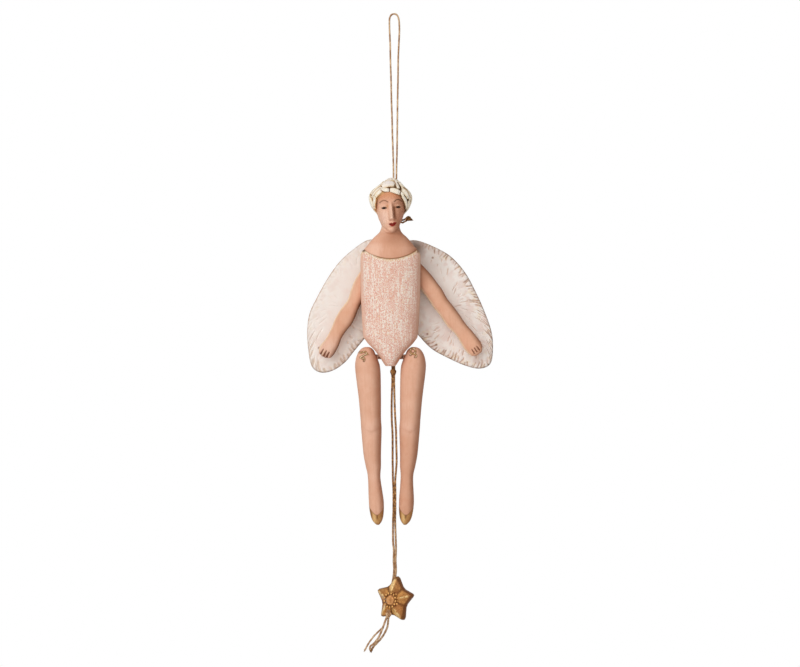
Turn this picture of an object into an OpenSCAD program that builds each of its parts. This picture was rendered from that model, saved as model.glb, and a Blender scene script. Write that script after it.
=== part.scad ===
// Jumping jack puppet: a painted winged figure that hangs from a twine loop.
// Pulling the star below it swings both arms and both legs outwards.
// Millimetres, +Z up, the face looks along -Y, the origin is where the loop lies on its hook.

/* [Twine] */
// Diameter of the twine strands
twine_d = 1.0; // [0.7:0.05:1.1]
// Diameter of the strings inside the body
string_d = 0.8; // [0.5:0.05:1.0]
// Diameter of the doubled twine that each leg turns on
hip_cord_d = 1.8; // [1.4:0.1:2.2]
// Diameter of the two strands of the pull cord
pull_d = 1.15; // [0.8:0.05:1.15]

/* [Head] */
// Height from the chin to the crown of the hair
head_h = 27.5; // [25:0.5:30]
// Width of the face at the cheeks
face_w = 14.8; // [13:0.1:16.5]
// Depth of the head from the brow to the back
head_d = 17.4; // [15:0.1:19]
// Width over the hair at its widest
hair_w = 20.8; // [19:0.1:23]
// Depth over the hair at its deepest
hair_d = 20; // [19:0.1:23]
// How far the nose stands out from the face
nose_h = 2.0; // [1:0.1:3]
// Turn of the head towards the figure's left
head_turn = 5; // [0:1:12]
// Slope of the line where the hair meets the head
hairline_slope = 46; // [40:1:52]

/* [Body] */
// Sideways distance from the hook to the middle of the figure, to the left
figure_shift = 1.75; // [0:0.25:3]
// Height of the neck and shoulders, from the chin to the top of the leotard
neck_h = 8.5; // [7:0.25:11]
// Width of the neck
neck_w = 9.4; // [8:0.1:11]
// Width over the shoulders
shoulder_w = 26.6; // [25:0.1:28]
// Height of the leotard from its top corners to its lowest point
torso_h = 58; // [55:0.5:62]
// Width of the leotard at the chest
chest_w = 30; // [29:0.1:32]
// Width of the leotard at its lower corners
hip_w = 27.4; // [26:0.1:28]
// Depth of the leotard's rounded front
torso_d = 10.5; // [9:0.1:13]
// Height of the pointed bottom of the leotard
point_h = 14; // [13:0.25:15]
// Depth of the scooped neckline
scoop_h = 4.6; // [3:0.1:6]
// Thickness of the back board
board_t = 3; // [2.5:0.1:4]
// How far the back board stays inside the leotard's outline
board_inset = 1.2; // [0.8:0.1:2]

/* [Arms] */
// Length from the shoulder pin to the fingertips
arm_len = 54; // [48:0.5:60]
// How much longer the right arm is than the mean, and the left arm shorter
arm_uneven = 1.5; // [0:0.1:2]
// Width of the upper arm
arm_w = 8.2; // [7:0.1:8.6]
// Width of the wrist
wrist_w = 6.8; // [5:0.1:7.2]
// Width of the closed hand
hand_w = 8.2; // [7:0.1:9]
// Thickness of the arm
arm_t = 6; // [5:0.1:7]
// Distance between the shoulder pins
shoulder_span = 20; // [19:0.25:21]
// How far the shoulder pins stand right of the middle of the figure
shoulder_shift = 1.25; // [0:0.25:1.5]
// Height of the shoulder pins below the top of the leotard
shoulder_drop = 7.5; // [7:0.25:9]
// Angle of the left arm from hanging straight down, at rest
arm_rest_left = 28.5; // [20:0.5:40]
// Angle of the right arm from hanging straight down, at rest
arm_rest_right = 36.5; // [20:0.5:40]

/* [Legs] */
// Length from the hip cord to the toe
leg_len = 85.5; // [78:0.5:95]
// Width of the thigh
thigh_w = 12.6; // [11:0.1:13.5]
// Depth of the thigh
thigh_d = 11; // [9.5:0.1:11.2]
// Width of the knee
knee_w = 10.2; // [9:0.1:11]
// Width of the ankle
ankle_w = 6.3; // [5.5:0.1:7.5]
// Width of the slipper
foot_w = 7.5; // [6.4:0.1:8]
// How much further in the left foot stands than the right one
foot_in = 0.9; // [0:0.1:1]
// Distance from the hip cord to the straight inner edge of the leg
leg_inner = 7; // [6.4:0.1:7.2]
// Distance between the hip cords
hip_span = 23.5; // [23:0.25:25]
// Height of the hip cords above the lowest point of the leotard
hip_rise = 6; // [5:0.25:6.5]
// Radius of the rounded top of the leg, about the hip cord
hip_round = 3.5; // [3:0.1:3.6]

/* [Wings] */
// Width over both wings
wing_span = 93.9; // [88:0.1:98]
// Height of the wings from their lowest to their highest point
wing_h = 67.1; // [64:0.1:70]
// Thickness of the wings
wing_t = 3.5; // [2.5:0.1:5]
// Gap between the two wing roots
wing_seam = 0.5; // [0.3:0.1:1]
// Diameter of the wing nails
nail_d = 1; // [0.8:0.1:1.4]

/* [Mechanism] */
// How far the pull cord comes down
pull_travel = 8; // [6:0.25:8]
// Swing of the arms at full pull
arm_swing = 90; // [80:1:95]
// Swing of the legs at full pull
leg_swing = 60; // [55:1:65]
// Diameter of the shoulder pins and spacer pegs
pin_d = 3; // [2.4:0.1:3.4]
// Thickness of the levers that the strings are tied to
lever_t = 3.1; // [2.6:0.1:3.2]
// Clearance between a limb and the boards beside it
side_clear = 0.4; // [0.3:0.05:0.6]
// Radial clearance of pins and cords in the holes they turn in
run_clear = 0.05; // [0.02:0.01:0.1]

/* [Star] */
// Radius of the star's points
star_r = 12.5; // [11:0.1:13]
// Radius of the star's notches
star_notch = 7.6; // [7:0.1:8.4]
// Thickness of the star at its middle
star_t = 9.4; // [8:0.1:11]
// Thickness of the star along its edge
star_edge = 2.6; // [2:0.1:3.4]
// Turn of the star on its cord
star_turn = 40; // [36:1:48]
// Tilt of the star on its cord
star_tilt = 8; // [4:1:12]

/* [Hidden] */

flesh = [0.88, 0.68, 0.58];
leotard_pink = [0.92, 0.77, 0.72];
hair_cream = [0.94, 0.89, 0.78];
wing_white = [0.95, 0.92, 0.88];
bare_wood = [0.78, 0.62, 0.44];
twine_gold = [0.66, 0.50, 0.30];
star_gold = [0.74, 0.52, 0.26];
nail_grey = [0.6, 0.6, 0.6];

smooth_steps = 3;
ring_points = 24;
pad = 0.01;
glue_gap = 0.05;
far = 60;

// Heights down the figure
crown = [0.5, 0, -81.5];
chin_z = crown[2] - head_h;
torso_top = chin_z - neck_h;
torso_low = torso_top - torso_h;
corner_z = torso_low + point_h;
shoulder_z = torso_top - shoulder_drop;
hip_z = torso_low + hip_rise;
figure_x = -figure_shift;
arms_x = figure_x + shoulder_shift;

// Layers from front to back
front_y = 1;
limb_gap = arm_t + 2 * side_clear;
board_y = front_y + limb_gap;
wing_y = board_y + board_t;
arm_y = front_y + limb_gap / 2;
lever_back = board_y - side_clear - 0.1;
lever_front = lever_back - lever_t;
leg_y = lever_back - thigh_d / 2;
string_y = (front_y + lever_front) / 2;

// Levers: each turns as far below level as it starts above it
arm_lever = pull_travel / (2 * sin(arm_swing / 2));
leg_lever = pull_travel / (2 * sin(leg_swing / 2));
arm_tie = arm_lever * [cos(arm_swing / 2), sin(arm_swing / 2)];
leg_tie = leg_lever * [cos(leg_swing / 2), sin(leg_swing / 2)];
lever_w = 3.2;
nub_w = 2.4;
nub = [leg_inner - 0.5, -1.5];
tie_hole_d = string_d + 0.4;

// Neckline: one round scoop shared by the leotard and the bust
scoop_half = shoulder_w / 2;
scoop_r = (scoop_half * scoop_half + scoop_h * scoop_h) / (2 * scoop_h);
scoop_z = torso_top - scoop_h + scoop_r;

// Pins, pegs and nails
pin_seat = 4.5;
pin_hole_d = pin_d + 2 * glue_gap;
peg_z = torso_top - 0.52 * torso_h;
peg_half = 9;
wing_mid = figure_x + 4;
nail_half = 5.5;
nail_drops = [12, 26];
nail_head_d = 2.4;
nail_head_t = 0.7;
nail_bite = 2;
nail_hole_d = nail_d + 2 * glue_gap;
knot_seat_d = 4;
hip_knot_d = 3;
hip_knot_t = 1.4;
hip_depth = 8.4;

// Twine routes, points chosen along each strand
loop_route = [
    [-0.2, 0, -81], [-0.3, 0, -75], [-0.5, 0, -68], [-0.8, 0, -60], [-1, 0, -51], [-1.3, 0, -42],
    [-1.5, 0, -32], [-1.8, 0, -22], [-1.9, 0, -15], [-2.2, 0, -8], [-2.3, 0, -4], [-2.2, 0, -1.8],
    [-1.6, 0, -0.3], [-0.7, 0, 0.4], [0, 0, 0.5], [0.8, 0, 0.4], [1.7, 0, -0.3], [2.3, 0, -1.8],
    [2.6, 0, -4], [2.7, 0, -8], [2.4, 0, -15], [2.1, 0, -22], [2, 0, -32], [1.8, 0, -42],
    [1.7, 0, -51], [1.6, 0, -60], [1.5, 0, -68], [1.3, 0, -75], [1.2, 0, -81]
];
nape = [3.2, 6.5, chin_z + 6.5];
nape_end = [8.4, 6.5, chin_z + 8];
pull_knot_at = [-0.4, 2.6, torso_low - 2.9];
strand_left_route = [
    pull_knot_at + [-0.6, 0, -1.4], [-1, 2.6, -184], [-1.1, 2.6, -190], [-1.2, 2.6, -197], [-1.1, 2.6, -203],
    [-0.8, 2.6, -208], [-0.7, 2.6, -213], [-0.7, 2.6, -223], [-0.6, 2.6, -228], [-0.6, 2.6, -233],
    [-0.4, 2.6, -238], [-0.4, 2.6, -248], [-0.6, 2.6, -253], [-0.6, 2.6, -263], [-0.2, 2.6, -268],
    [-0.3, 2.6, -273], [-0.1, 2.6, -278], [-0.7, 2.6, -283], [-2.1, 2.75, -290.5], [-3.5, 2.9, -298.5],
    [-3.8, 2.6, -299.8]
];
strand_right_route = [
    pull_knot_at + [0.6, 0, -1.4], [0.2, 2.6, -184], [0.2, 2.6, -190], [0.4, 2.6, -197], [0.7, 2.6, -203],
    [1, 2.6, -208], [1.1, 2.6, -213], [1.3, 2.6, -223], [1, 2.6, -228], [0.7, 2.6, -233],
    [0.8, 2.6, -238], [0.8, 2.6, -248], [0.7, 2.6, -253], [1, 2.6, -263], [1.1, 2.6, -268],
    [0.9, 2.6, -273], [1.1, 2.6, -278], [0.5, 2.6, -283], [-0.9, 2.75, -290.5], [-2.3, 2.9, -298.5],
    [-2.6, 2.6, -299.8]
];
tail_long_route = [
    [-3.4, 2.4, -301], [-4.2, 2.4, -303.1], [-5.5, 2.4, -306.3], [-7.2, 2.4, -308], [-10, 2.4, -310.8],
    [-12.8, 2.4, -314.6], [-14.7, 2.4, -318.1]
];
tail_left_route = [
    [-3.5, 1.2, -300.9], [-4.6, 1, -303.7], [-5.9, 0.9, -307.2], [-7.7, 0.9, -311.3], [-9.9, 0.9, -314.2],
    [-11.9, 1, -315.9], [-11.8, 1.2, -317.6]
];
tail_right_route = [
    [-2.9, 3.4, -301], [-2.9, 3.7, -303.1], [-3.3, 3.8, -306.3], [-4.5, 3.8, -309.1], [-6.1, 3.8, -311.7],
    [-8.3, 3.6, -314.2], [-10.2, 3.2, -316.2], [-11.2, 2.6, -317.7]
];
star_at = [0.6, 2.6, -292.5];
star_bore_top = [0.8, 2.6, -278];
star_bore_end = [-3.3, 2.9, -300.6];
star_knot_at = [-3.1, 2.3, -300.3];
tail_knot_at = [-11.5, 2, -318.1];
star_bore_d = 2 * pull_d + 0.6;

// Edges of the wings as drawn, from the root's top, round the tip, to the root's foot,
// measured from the middle between the roots and from the top of the leotard
wing_left_edge = [
    [0, 1.5], [-9.25, 4.4], [-15.25, 5.6], [-23.25, 0.5], [-30.25, -6], [-36.25, -14.5],
    [-41.25, -23.5], [-44.95, -31.5], [-46.15, -40.5], [-45.55, -50.5], [-43.75, -58.5], [-39.25, -61.5],
    [-33.25, -60.5], [-27.25, -56.5], [-22.25, -50.5], [-17.25, -44.5], [-10.25, -36.5], [0, -30.5]
];
wing_right_edge = [
    [0, 1.5], [3.75, 4.7], [9.25, 5.3], [17.95, 2.1], [26.55, -2.9], [33.75, -11],
    [38.95, -20.5], [43.25, -30], [46.95, -40.5], [47.75, -49.5], [46.45, -57], [41.15, -59.5],
    [33.75, -58], [24.75, -54], [16.75, -49.5], [10.75, -43.5], [5.75, -37.5], [0, -30.5]
];
wing_drawn = concat(wing_left_edge, wing_right_edge);
function wing_reach(k) = max([for (p = wing_drawn) p[k]]) - min([for (p = wing_drawn) p[k]]);
wing_scale = [wing_span / wing_reach(0), wing_h / wing_reach(1)];

// One point of a smooth line that passes through b and c
function smooth_point(a, b, c, d, t) =
    0.5 * ((2 * b) + (c - a) * t + (2 * a - 5 * b + 4 * c - d) * t * t + (3 * b - a - 3 * c + d) * t * t * t);

// A smooth line through every row of a list
function smooth(rows, steps) = let (last = len(rows) - 1) [
    for (i = [0:last - 1], k = [0:steps - 1])
        smooth_point(rows[max(i - 1, 0)], rows[i], rows[i + 1], rows[min(i + 2, last)], k / steps),
    rows[last]
];

function bump(v, middle, reach) = exp(-pow((v - middle) / reach, 2));

// A level oval ring about [x, y] with its own reach to the front and to the back
function oval(z, x, half, y, front, back) = [
    for (i = [0:ring_points - 1])
        let (c = cos(360 * i / ring_points), s = sin(360 * i / ring_points))
            [x + c * half, y + s * (s > 0 ? back : front), z]
];

// A level ring with a flat back and a rounded front
function flat_backed(z, half, depth, side, back) = [
    [half, back, z],
    [-half, back, z],
    for (i = [0:ring_points])
        let (a = 180 * i / ring_points)
            [-half * cos(a), back - side - (depth - side) * sin(a), z]
];

// A closed skin over rings of equal counts, listed from the top down
module skin(rings) {
    count = len(rings[0]);
    last = len(rings) - 1;
    ends = [for (r = [rings[0], rings[last]]) [for (k = [0:2]) [for (p = r) p[k]] * [for (p = r) 1] / count]];
    base = (last + 1) * count;
    sides = [
        for (j = [0:last - 1], i = [0:count - 1])
            let (a = j * count + i, b = j * count + (i + 1) % count)
                each [[a, b, b + count], [a, b + count, a + count]]
    ];
    caps = [
        for (i = [0:count - 1])
            each [
                [base, (i + 1) % count, i],
                [base + 1, last * count + i, last * count + (i + 1) % count]
            ]
    ];
    polyhedron(points = concat([for (r = rings) each r], ends), faces = concat(sides, caps));
}

function unit(v) = v / norm(v);

// A tube swept along the points of a route
module tube(route, d) {
    last = len(route) - 1;
    skin([
        for (i = [0:last])
            let (
                ahead = unit(route[min(i + 1, last)] - route[max(i - 1, 0)]),
                side = unit(cross(ahead, [0, 1, 0])),
                out = cross(side, ahead)
            )
                [for (k = [0:7]) route[i] + d / 2 * (cos(45 * k) * side + sin(45 * k) * out)]
    ]);
}

// A straight round rod between two points
module rod(from, to, d) {
    way = to - from;
    translate(from)
        rotate([0, acos(way[2] / norm(way)), atan2(way[1], way[0])])
            cylinder(h = norm(way), d = d, $fn = 32);
}

// A rod along Y between two depths
module pin_y(x, z, from, to, d) {
    translate([x, to, z])
        rotate([90, 0, 0])
            cylinder(h = to - from, d = d, $fn = 48);
}

// A knot: an egg-shaped solid of revolution standing on Z
module knot(w, h) {
    rotate_extrude($fn = 32)
        polygon([for (a = [-90:15:90]) [w / 2 * cos(a), h / 2 * sin(a)]]);
}

// A flat bar with round ends
module bar(from, to, w) {
    way = to - from;
    for (p = [from, to])
        translate(p)
            circle(d = w, $fn = 32);
    translate(from)
        rotate(atan2(way[1], way[0]))
            translate([0, -w / 2])
                square([norm(way), w]);
}

// Stands a flat shape in X and Z up as a plate between two depths
module plate(from, to) {
    translate([0, to, 0])
        rotate([90, 0, 0])
            linear_extrude(to - from)
                children();
}

module scoop(clear) {
    pin_y(figure_x, scoop_z, -far, far, 2 * (scoop_r - clear));
}

function pin_x(side) = arms_x + side * shoulder_span / 2;
function hip_x(side) = figure_x + side * hip_span / 2;
function peg_x(side) = figure_x + side * peg_half;
function nail_x(side) = wing_mid + side * nail_half;

// Rows of the leotard: height, half width, depth
torso_rows = [
    [torso_top, 0.497 * chest_w, 0.743 * torso_d],
    [torso_top - 0.14 * torso_h, 0.5 * chest_w, 0.924 * torso_d],
    [torso_top - 0.38 * torso_h, 0.493 * chest_w, torso_d],
    [corner_z + 0.172 * torso_h, 0.248 * (chest_w + hip_w), 0.962 * torso_d],
    [corner_z + 0.034 * torso_h, 0.5 * hip_w, 0.886 * torso_d],
    [corner_z, 0.485 * hip_w, 0.857 * torso_d]
];
point_rows = [
    [corner_z - 0.2 * point_h, 0.409 * hip_w, 0.81 * torso_d],
    [corner_z - 0.42 * point_h, 0.296 * hip_w, 0.752 * torso_d],
    [torso_low + 0.307 * point_h, 0.19 * hip_w, 0.676 * torso_d],
    [torso_low + 0.071 * point_h, 0.117 * hip_w, 0.562 * torso_d],
    [torso_low, 0.088 * hip_w, 0.467 * torso_d]
];
torso_side = 2;

module torso_front() {
    rows = concat(smooth(torso_rows, smooth_steps), point_rows);
    color(leotard_pink)
        difference() {
            translate([figure_x, 0, 0])
                skin([for (r = rows) flat_backed(r[0], r[1], r[2], torso_side, front_y)]);
            scoop(0);
            for (side = [-1, 1]) {
                pin_y(pin_x(side), shoulder_z, front_y - pin_seat, far, pin_hole_d);
                pin_y(peg_x(side), peg_z, front_y - pin_seat, far, pin_hole_d);
            }
        }
}

// Rows of the bust: height above the chin, half width, front, back, middle depth
face_rows = [
    [0.42 * head_h, face_w / 2 - 0.2, head_d / 2 - 0.2, head_d / 2 + 0.1, -0.5],
    [0.36 * head_h, face_w / 2 - 0.6, head_d / 2 - 0.2, head_d / 2 - 0.2, -0.5],
    [0.26 * head_h, face_w / 2 - 1.4, head_d / 2 - 0.3, head_d / 2 - 1.6, -0.5],
    [0.18 * head_h, neck_w / 2 + 0.3, head_d / 2 - 0.5, head_d / 2 - 2.8, -0.5],
    [0.12 * head_h, neck_w / 2 - 0.2, head_d / 2 - 0.9, neck_w / 2 + 0.4, -0.5],
    [0.05 * head_h, neck_w / 2 + 0.4, head_d / 2 - 1.7, neck_w / 2 + 0.1, -0.5],
    [-0.2, neck_w / 2 + 1.4, neck_w / 2 + 0.9, neck_w / 2, -0.7]
];
forehead_rows = [
    [0.86 * head_h, face_w / 2 - 3, head_d / 2 - 3.4, head_d / 2 - 3, -0.5],
    [0.74 * head_h, face_w / 2 - 0.7, head_d / 2 - 0.8, head_d / 2 - 0.6, -0.5],
    [0.6 * head_h, face_w / 2, head_d / 2, head_d / 2, -0.5],
    [0.5 * head_h, face_w / 2, head_d / 2 - 0.2, head_d / 2 + 0.2, -0.5]
];
shoulder_rows = [
    [-0.25 * neck_h, neck_w / 2 + 3.4, neck_w / 2 + 0.4, neck_w / 2 - 1.6, -1],
    [-0.54 * neck_h, neck_w / 2 + 5.6, neck_w / 2 + 0.6, neck_w / 2 - 2.6, -1],
    [-0.82 * neck_h, shoulder_w / 2 - 1.2, neck_w / 2 + 0.8, neck_w / 2 - 2.7, -1],
    [-neck_h, shoulder_w / 2, neck_w / 2 + 1, neck_w / 2 - 2.7, -1],
    [-neck_h - scoop_h - 1.5, shoulder_w / 2, neck_w / 2 + 1.6, neck_w / 2 - 2.7, -1]
];
nose_tip = 0.25;
nose_root = 0.44;

function nose_at(x, up) =
    let (tip = bump(up, nose_tip * head_h, 1.7), bridge = 0.5 * bump(up, nose_root * head_h * 0.85, 2.4))
        nose_h * bump(x, 0, 1.4) * (tip + bridge);

function face_ring(row) = [
    for (p = oval(chin_z + row[0], 0, row[1], row[4], row[2], row[3]))
        p - [0, p[1] < row[4] ? nose_at(p[0], row[0]) : 0, 0]
];

function turned(p, angle) = let (f = min(1, max(0, (p[2] - chin_z) / 4 + 0.5)) * angle)
    [p[0] * cos(f) - p[1] * sin(f), p[0] * sin(f) + p[1] * cos(f), p[2]];

// Everything above the slope of the hairline
module above_hairline(lift) {
    translate([figure_x, -head_d / 2, chin_z + 0.71 * head_h + lift])
        rotate([-hairline_slope, 0, 0])
            translate([-far / 2, -far / 2, 0])
                cube(far);
}

module bust() {
    rows = concat(smooth(concat(forehead_rows, face_rows), smooth_steps), smooth(shoulder_rows, 2));
    color(flesh)
        difference() {
            intersection() {
                translate([figure_x, 0, 0])
                    skin([for (r = rows) [for (p = face_ring(r)) turned(p, head_turn)]]);
                scoop(glue_gap);
            }
            above_hairline(0);
            for (side = [-1, 1])
                pin_y(pin_x(side), shoulder_z, front_y - pin_seat, far, pin_hole_d);
        }
}

// Rows of the hair: height above the chin, half width, front, back, shift to the right
hair_rows = [
    [head_h, 0.06 * hair_w, 0.07 * hair_d, 0.07 * hair_d, 0.6],
    [0.965 * head_h, 0.15 * hair_w, 0.17 * hair_d, 0.17 * hair_d, 0.6],
    [0.92 * head_h, 0.226 * hair_w, 0.25 * hair_d, 0.25 * hair_d, 0.4],
    [0.87 * head_h, 0.284 * hair_w, 0.31 * hair_d, 0.31 * hair_d, 0.2],
    [0.82 * head_h, 0.36 * hair_w, 0.38 * hair_d, 0.38 * hair_d, 0],
    [0.765 * head_h, 0.433 * hair_w, 0.44 * hair_d, 0.44 * hair_d, 0],
    [0.71 * head_h, 0.481 * hair_w, 0.485 * hair_d, 0.485 * hair_d, 0],
    [0.64 * head_h, 0.5 * hair_w, 0.5 * hair_d, 0.5 * hair_d, 0],
    [0.565 * head_h, 0.49 * hair_w, 0.485 * hair_d, 0.5 * hair_d, 0],
    [0.49 * head_h, 0.461 * hair_w, 0.47 * hair_d, 0.49 * hair_d, 0],
    [0.435 * head_h, 0.418 * hair_w, 0.45 * hair_d, 0.48 * hair_d, 0],
    [0.38 * head_h, 0.356 * hair_w, 0.42 * hair_d, 0.46 * hair_d, 0],
    [0.29 * head_h, 0.29 * hair_w, 0.37 * hair_d, 0.42 * hair_d, 0],
    [0.18 * head_h, 0.22 * hair_w, 0.3 * hair_d, 0.34 * hair_d, 0]
];

hair_y = 0.2;

module hair() {
    color(hair_cream)
        difference() {
            translate([figure_x, 0, 0])
                skin([
                    for (r = smooth(hair_rows, smooth_steps))
                        oval(chin_z + r[0], r[4], r[1], hair_y, r[2], r[3])
                ]);
            difference() {
                translate([-far / 2, -far / 2, chin_z - far + head_h / 2])
                    cube([far, far, far + head_h / 4]);
                above_hairline(glue_gap);
            }
            rod(crown + 2 * (crown - nape) / norm(crown - nape), nape + (nape - crown), 2 * twine_d + 0.2);
        }
}

// Outline of the leotard drawn in by an inset
function board_half(z) = lookup(z, [for (r = concat(point_rows, torso_rows)) [r[0], r[1] - board_inset]]);

module back_board() {
    top = torso_top - 1;
    low = torso_low + board_inset;
    levels = [top, for (r = concat(torso_rows, point_rows)) if (r[0] < top && r[0] > low) r[0], low];
    color(bare_wood)
        difference() {
            union() {
                plate(board_y, wing_y)
                    polygon([
                        for (z = levels) [figure_x + board_half(z), z],
                        for (i = [len(levels) - 1:-1:0]) [figure_x - board_half(levels[i]), levels[i]]
                    ]);
                for (side = [-1, 1]) {
                    pin_y(hip_x(side), hip_z, board_y, wing_y, 2 * hip_round - 1);
                    plate(board_y, wing_y)
                        translate([hip_x(side), hip_z])
                            bar([0, nub[1]], [-side * (nub[0] + 3), nub[1]], nub_w);
                }
            }
            for (side = [-1, 1]) {
                pin_y(pin_x(side), shoulder_z, 0, far, pin_hole_d);
                pin_y(peg_x(side), peg_z, 0, far, pin_hole_d);
                pin_y(hip_x(side), hip_z, 0, far, hip_cord_d + 2 * glue_gap);
                for (drop = nail_drops)
                    pin_y(nail_x(side), torso_top - drop, wing_y - nail_bite, far, nail_hole_d);
            }
        }
}

module spacer_pegs() {
    color(bare_wood)
        for (side = [-1, 1])
            pin_y(peg_x(side), peg_z, front_y - pin_seat + glue_gap, wing_y, pin_d);
}

module shoulder_pin(side) {
    color(bare_wood)
        pin_y(pin_x(side), shoulder_z, front_y - pin_seat + glue_gap, wing_y, pin_d);
}

module wing(edge, side) {
    root = side * wing_seam / 2;
    shape = [
        for (p = smooth(edge, 4))
            [p[0] == 0 ? root : p[0] * wing_scale[0], p[1] * wing_scale[1]]
    ];
    color(wing_white)
        difference() {
            plate(wing_y, wing_y + wing_t)
                translate([wing_mid, torso_top])
                    polygon(shape);
            for (drop = nail_drops)
                pin_y(nail_x(side), torso_top - drop, 0, far, nail_hole_d);
        }
}

module wing_nails() {
    back = wing_y + wing_t;
    color(nail_grey)
        for (side = [-1, 1], drop = nail_drops) {
            pin_y(nail_x(side), torso_top - drop, wing_y - nail_bite + glue_gap, back + pad, nail_d);
            pin_y(nail_x(side), torso_top - drop, back, back + nail_head_t, nail_head_d);
        }
}

// Rows of an arm of a given length: distance from the pin, outer edge, inner edge, thickness
function arm_rows(long) = [
    [-0.4 * arm_w, 0.11 * arm_w, 0.11 * arm_w, 0.5 * arm_t],
    [-0.29 * arm_w, 0.28 * arm_w, 0.28 * arm_w, 0.86 * arm_t],
    [0, 0.4 * arm_w, 0.39 * arm_w, arm_t],
    [0.11 * long, 0.512 * arm_w, 0.451 * arm_w, arm_t],
    [0.22 * long, 0.549 * arm_w, 0.5 * arm_w, arm_t],
    [0.39 * long, 0.451 * arm_w, 0.476 * arm_w, arm_t],
    [0.5 * long, 0.488 * arm_w, 0.488 * arm_w, arm_t],
    [0.61 * long, 0.488 * arm_w, 0.5 * arm_w, 0.97 * arm_t],
    [0.7 * long, 0.515 * wrist_w, 0.529 * wrist_w, 0.86 * arm_t],
    [0.76 * long, 0.5 * wrist_w, 0.5 * wrist_w, 0.8 * arm_t],
    [long - 1.037 * hand_w, 0.463 * hand_w, 0.451 * hand_w, 0.92 * arm_t],
    [long - 0.488 * hand_w, 0.512 * hand_w, 0.488 * hand_w, arm_t],
    [long - 0.171 * hand_w, 0.402 * hand_w, 0.402 * hand_w, 0.85 * arm_t],
    [long, 0.22 * hand_w, 0.22 * hand_w, 0.35 * arm_t]
];

module arm(side, rest) {
    color(flesh)
        translate([pin_x(side), 0, shoulder_z])
            mirror([side > 0 ? 1 : 0, 0, 0])
                difference() {
                    union() {
                        rotate([0, rest, 0])
                            skin([
                                for (r = smooth(arm_rows(arm_len + side * arm_uneven), smooth_steps))
                                    let (x = (r[2] - r[1]) / 2, half = (r[1] + r[2]) / 2, deep = r[3] / 2)
                                        oval(-r[0], x, half, arm_y, deep, deep)
                            ]);
                        plate(lever_front, lever_back)
                            bar([0, 0], arm_tie, lever_w);
                    }
                    pin_y(0, 0, -far, far, pin_d + 2 * run_clear);
                    pin_y(arm_tie[0], arm_tie[1], -far, far, tie_hole_d);
                }
}

// Rows of the leg: distance below the hip cord, width, inner edge, depth
knee_at = 0.444 * leg_len;
ankle_at = 0.725 * leg_len;
leg_rows = [
    [-hip_round, 0.175 * thigh_w, 0.157 * leg_inner, 0.31 * hip_depth],
    [-0.78 * hip_round, 0.43 * thigh_w, 0.371 * leg_inner, 0.667 * hip_depth],
    [-0.4 * hip_round, 0.603 * thigh_w, 0.514 * leg_inner, 0.881 * hip_depth],
    [0, 0.714 * thigh_w, 0.6 * leg_inner, hip_depth],
    [0.035 * leg_len, 0.889 * thigh_w, 0.786 * leg_inner, 0.891 * thigh_d],
    [0.094 * leg_len, thigh_w, 0.957 * leg_inner, thigh_d],
    [0.257 * leg_len, 0.889 * thigh_w, leg_inner, 0.964 * thigh_d],
    [0.374 * leg_len, 1.01 * knee_w, leg_inner, 0.891 * thigh_d],
    [knee_at, knee_w, 1.043 * leg_inner, 0.909 * thigh_d],
    [0.584 * leg_len, 0.863 * knee_w, leg_inner, 0.855 * thigh_d],
    [0.655 * leg_len, 1.222 * ankle_w, leg_inner, 0.709 * thigh_d],
    [ankle_at, ankle_w, 0.957 * leg_inner, 1.063 * ankle_w],
    [ankle_at + 0.5 * (leg_len - ankle_at), foot_w, 1.071 * leg_inner, 1.19 * ankle_w],
    [0.936 * leg_len, 0.893 * foot_w, 1.057 * leg_inner, ankle_w],
    [0.977 * leg_len, 0.627 * foot_w, 0.943 * leg_inner, 0.746 * ankle_w],
    [leg_len, 0.187 * foot_w, 0.743 * leg_inner, 0.27 * ankle_w]
];

// Shift of the left foot towards the middle, by the distance below the hip cord
function foot_shift(side, down) = side > 0 ? 0
    : foot_in * min(1, max(0, 2 * (down - ankle_at) / (leg_len - ankle_at)));

module leg(side) {
    color(flesh)
        translate([hip_x(side), 0, hip_z])
            mirror([side > 0 ? 1 : 0, 0, 0])
                difference() {
                    union() {
                        skin([
                            for (r = smooth(leg_rows, smooth_steps))
                                let (inner = r[2] + foot_shift(side, r[0]))
                                    oval(-r[0], inner - r[1] / 2, r[1] / 2, leg_y, r[3] / 2, r[3] / 2)
                        ]);
                        plate(lever_front, lever_back) {
                            circle(r = hip_round - 0.6, $fn = 48);
                            bar([0, nub[1]], nub, nub_w);
                            bar(nub, leg_tie, nub_w);
                        }
                    }
                    pin_y(0, 0, -far, far, hip_cord_d + 2 * run_clear);
                    pin_y(0, 0, -far, leg_y - hip_depth / 2 + 0.6, knot_seat_d);
                    pin_y(leg_tie[0], leg_tie[1], -far, far, tie_hole_d);
                }
}

module hip_cord(side) {
    seat = leg_y - hip_depth / 2 + 0.6 - glue_gap;
    color(twine_gold) {
        pin_y(hip_x(side), hip_z, seat - hip_knot_t / 2, wing_y + hip_knot_t / 2, hip_cord_d);
        for (y = [seat - hip_knot_t / 2, wing_y + glue_gap + hip_knot_t / 2])
            translate([hip_x(side), y, hip_z])
                rotate([90, 0, 0])
                    knot(hip_knot_d, hip_knot_t);
    }
}

// A string from the pull knot up to the hole in a lever, through which it is tied
module lever_string(tie, foot_x) {
    top = [tie[0], string_y, tie[1]];
    color(twine_gold) {
        rod([foot_x, pull_knot_at[1], pull_knot_at[2] + 1], top, string_d);
        pin_y(tie[0], tie[1], string_y, lever_back - 0.4, string_d);
        translate(top)
            sphere(d = string_d * 1.6, $fn = 32);
    }
}

module arm_string(side) {
    lever_string([pin_x(side) - side * arm_tie[0], shoulder_z + arm_tie[1]], pull_knot_at[0] + side * 0.45);
}

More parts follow.
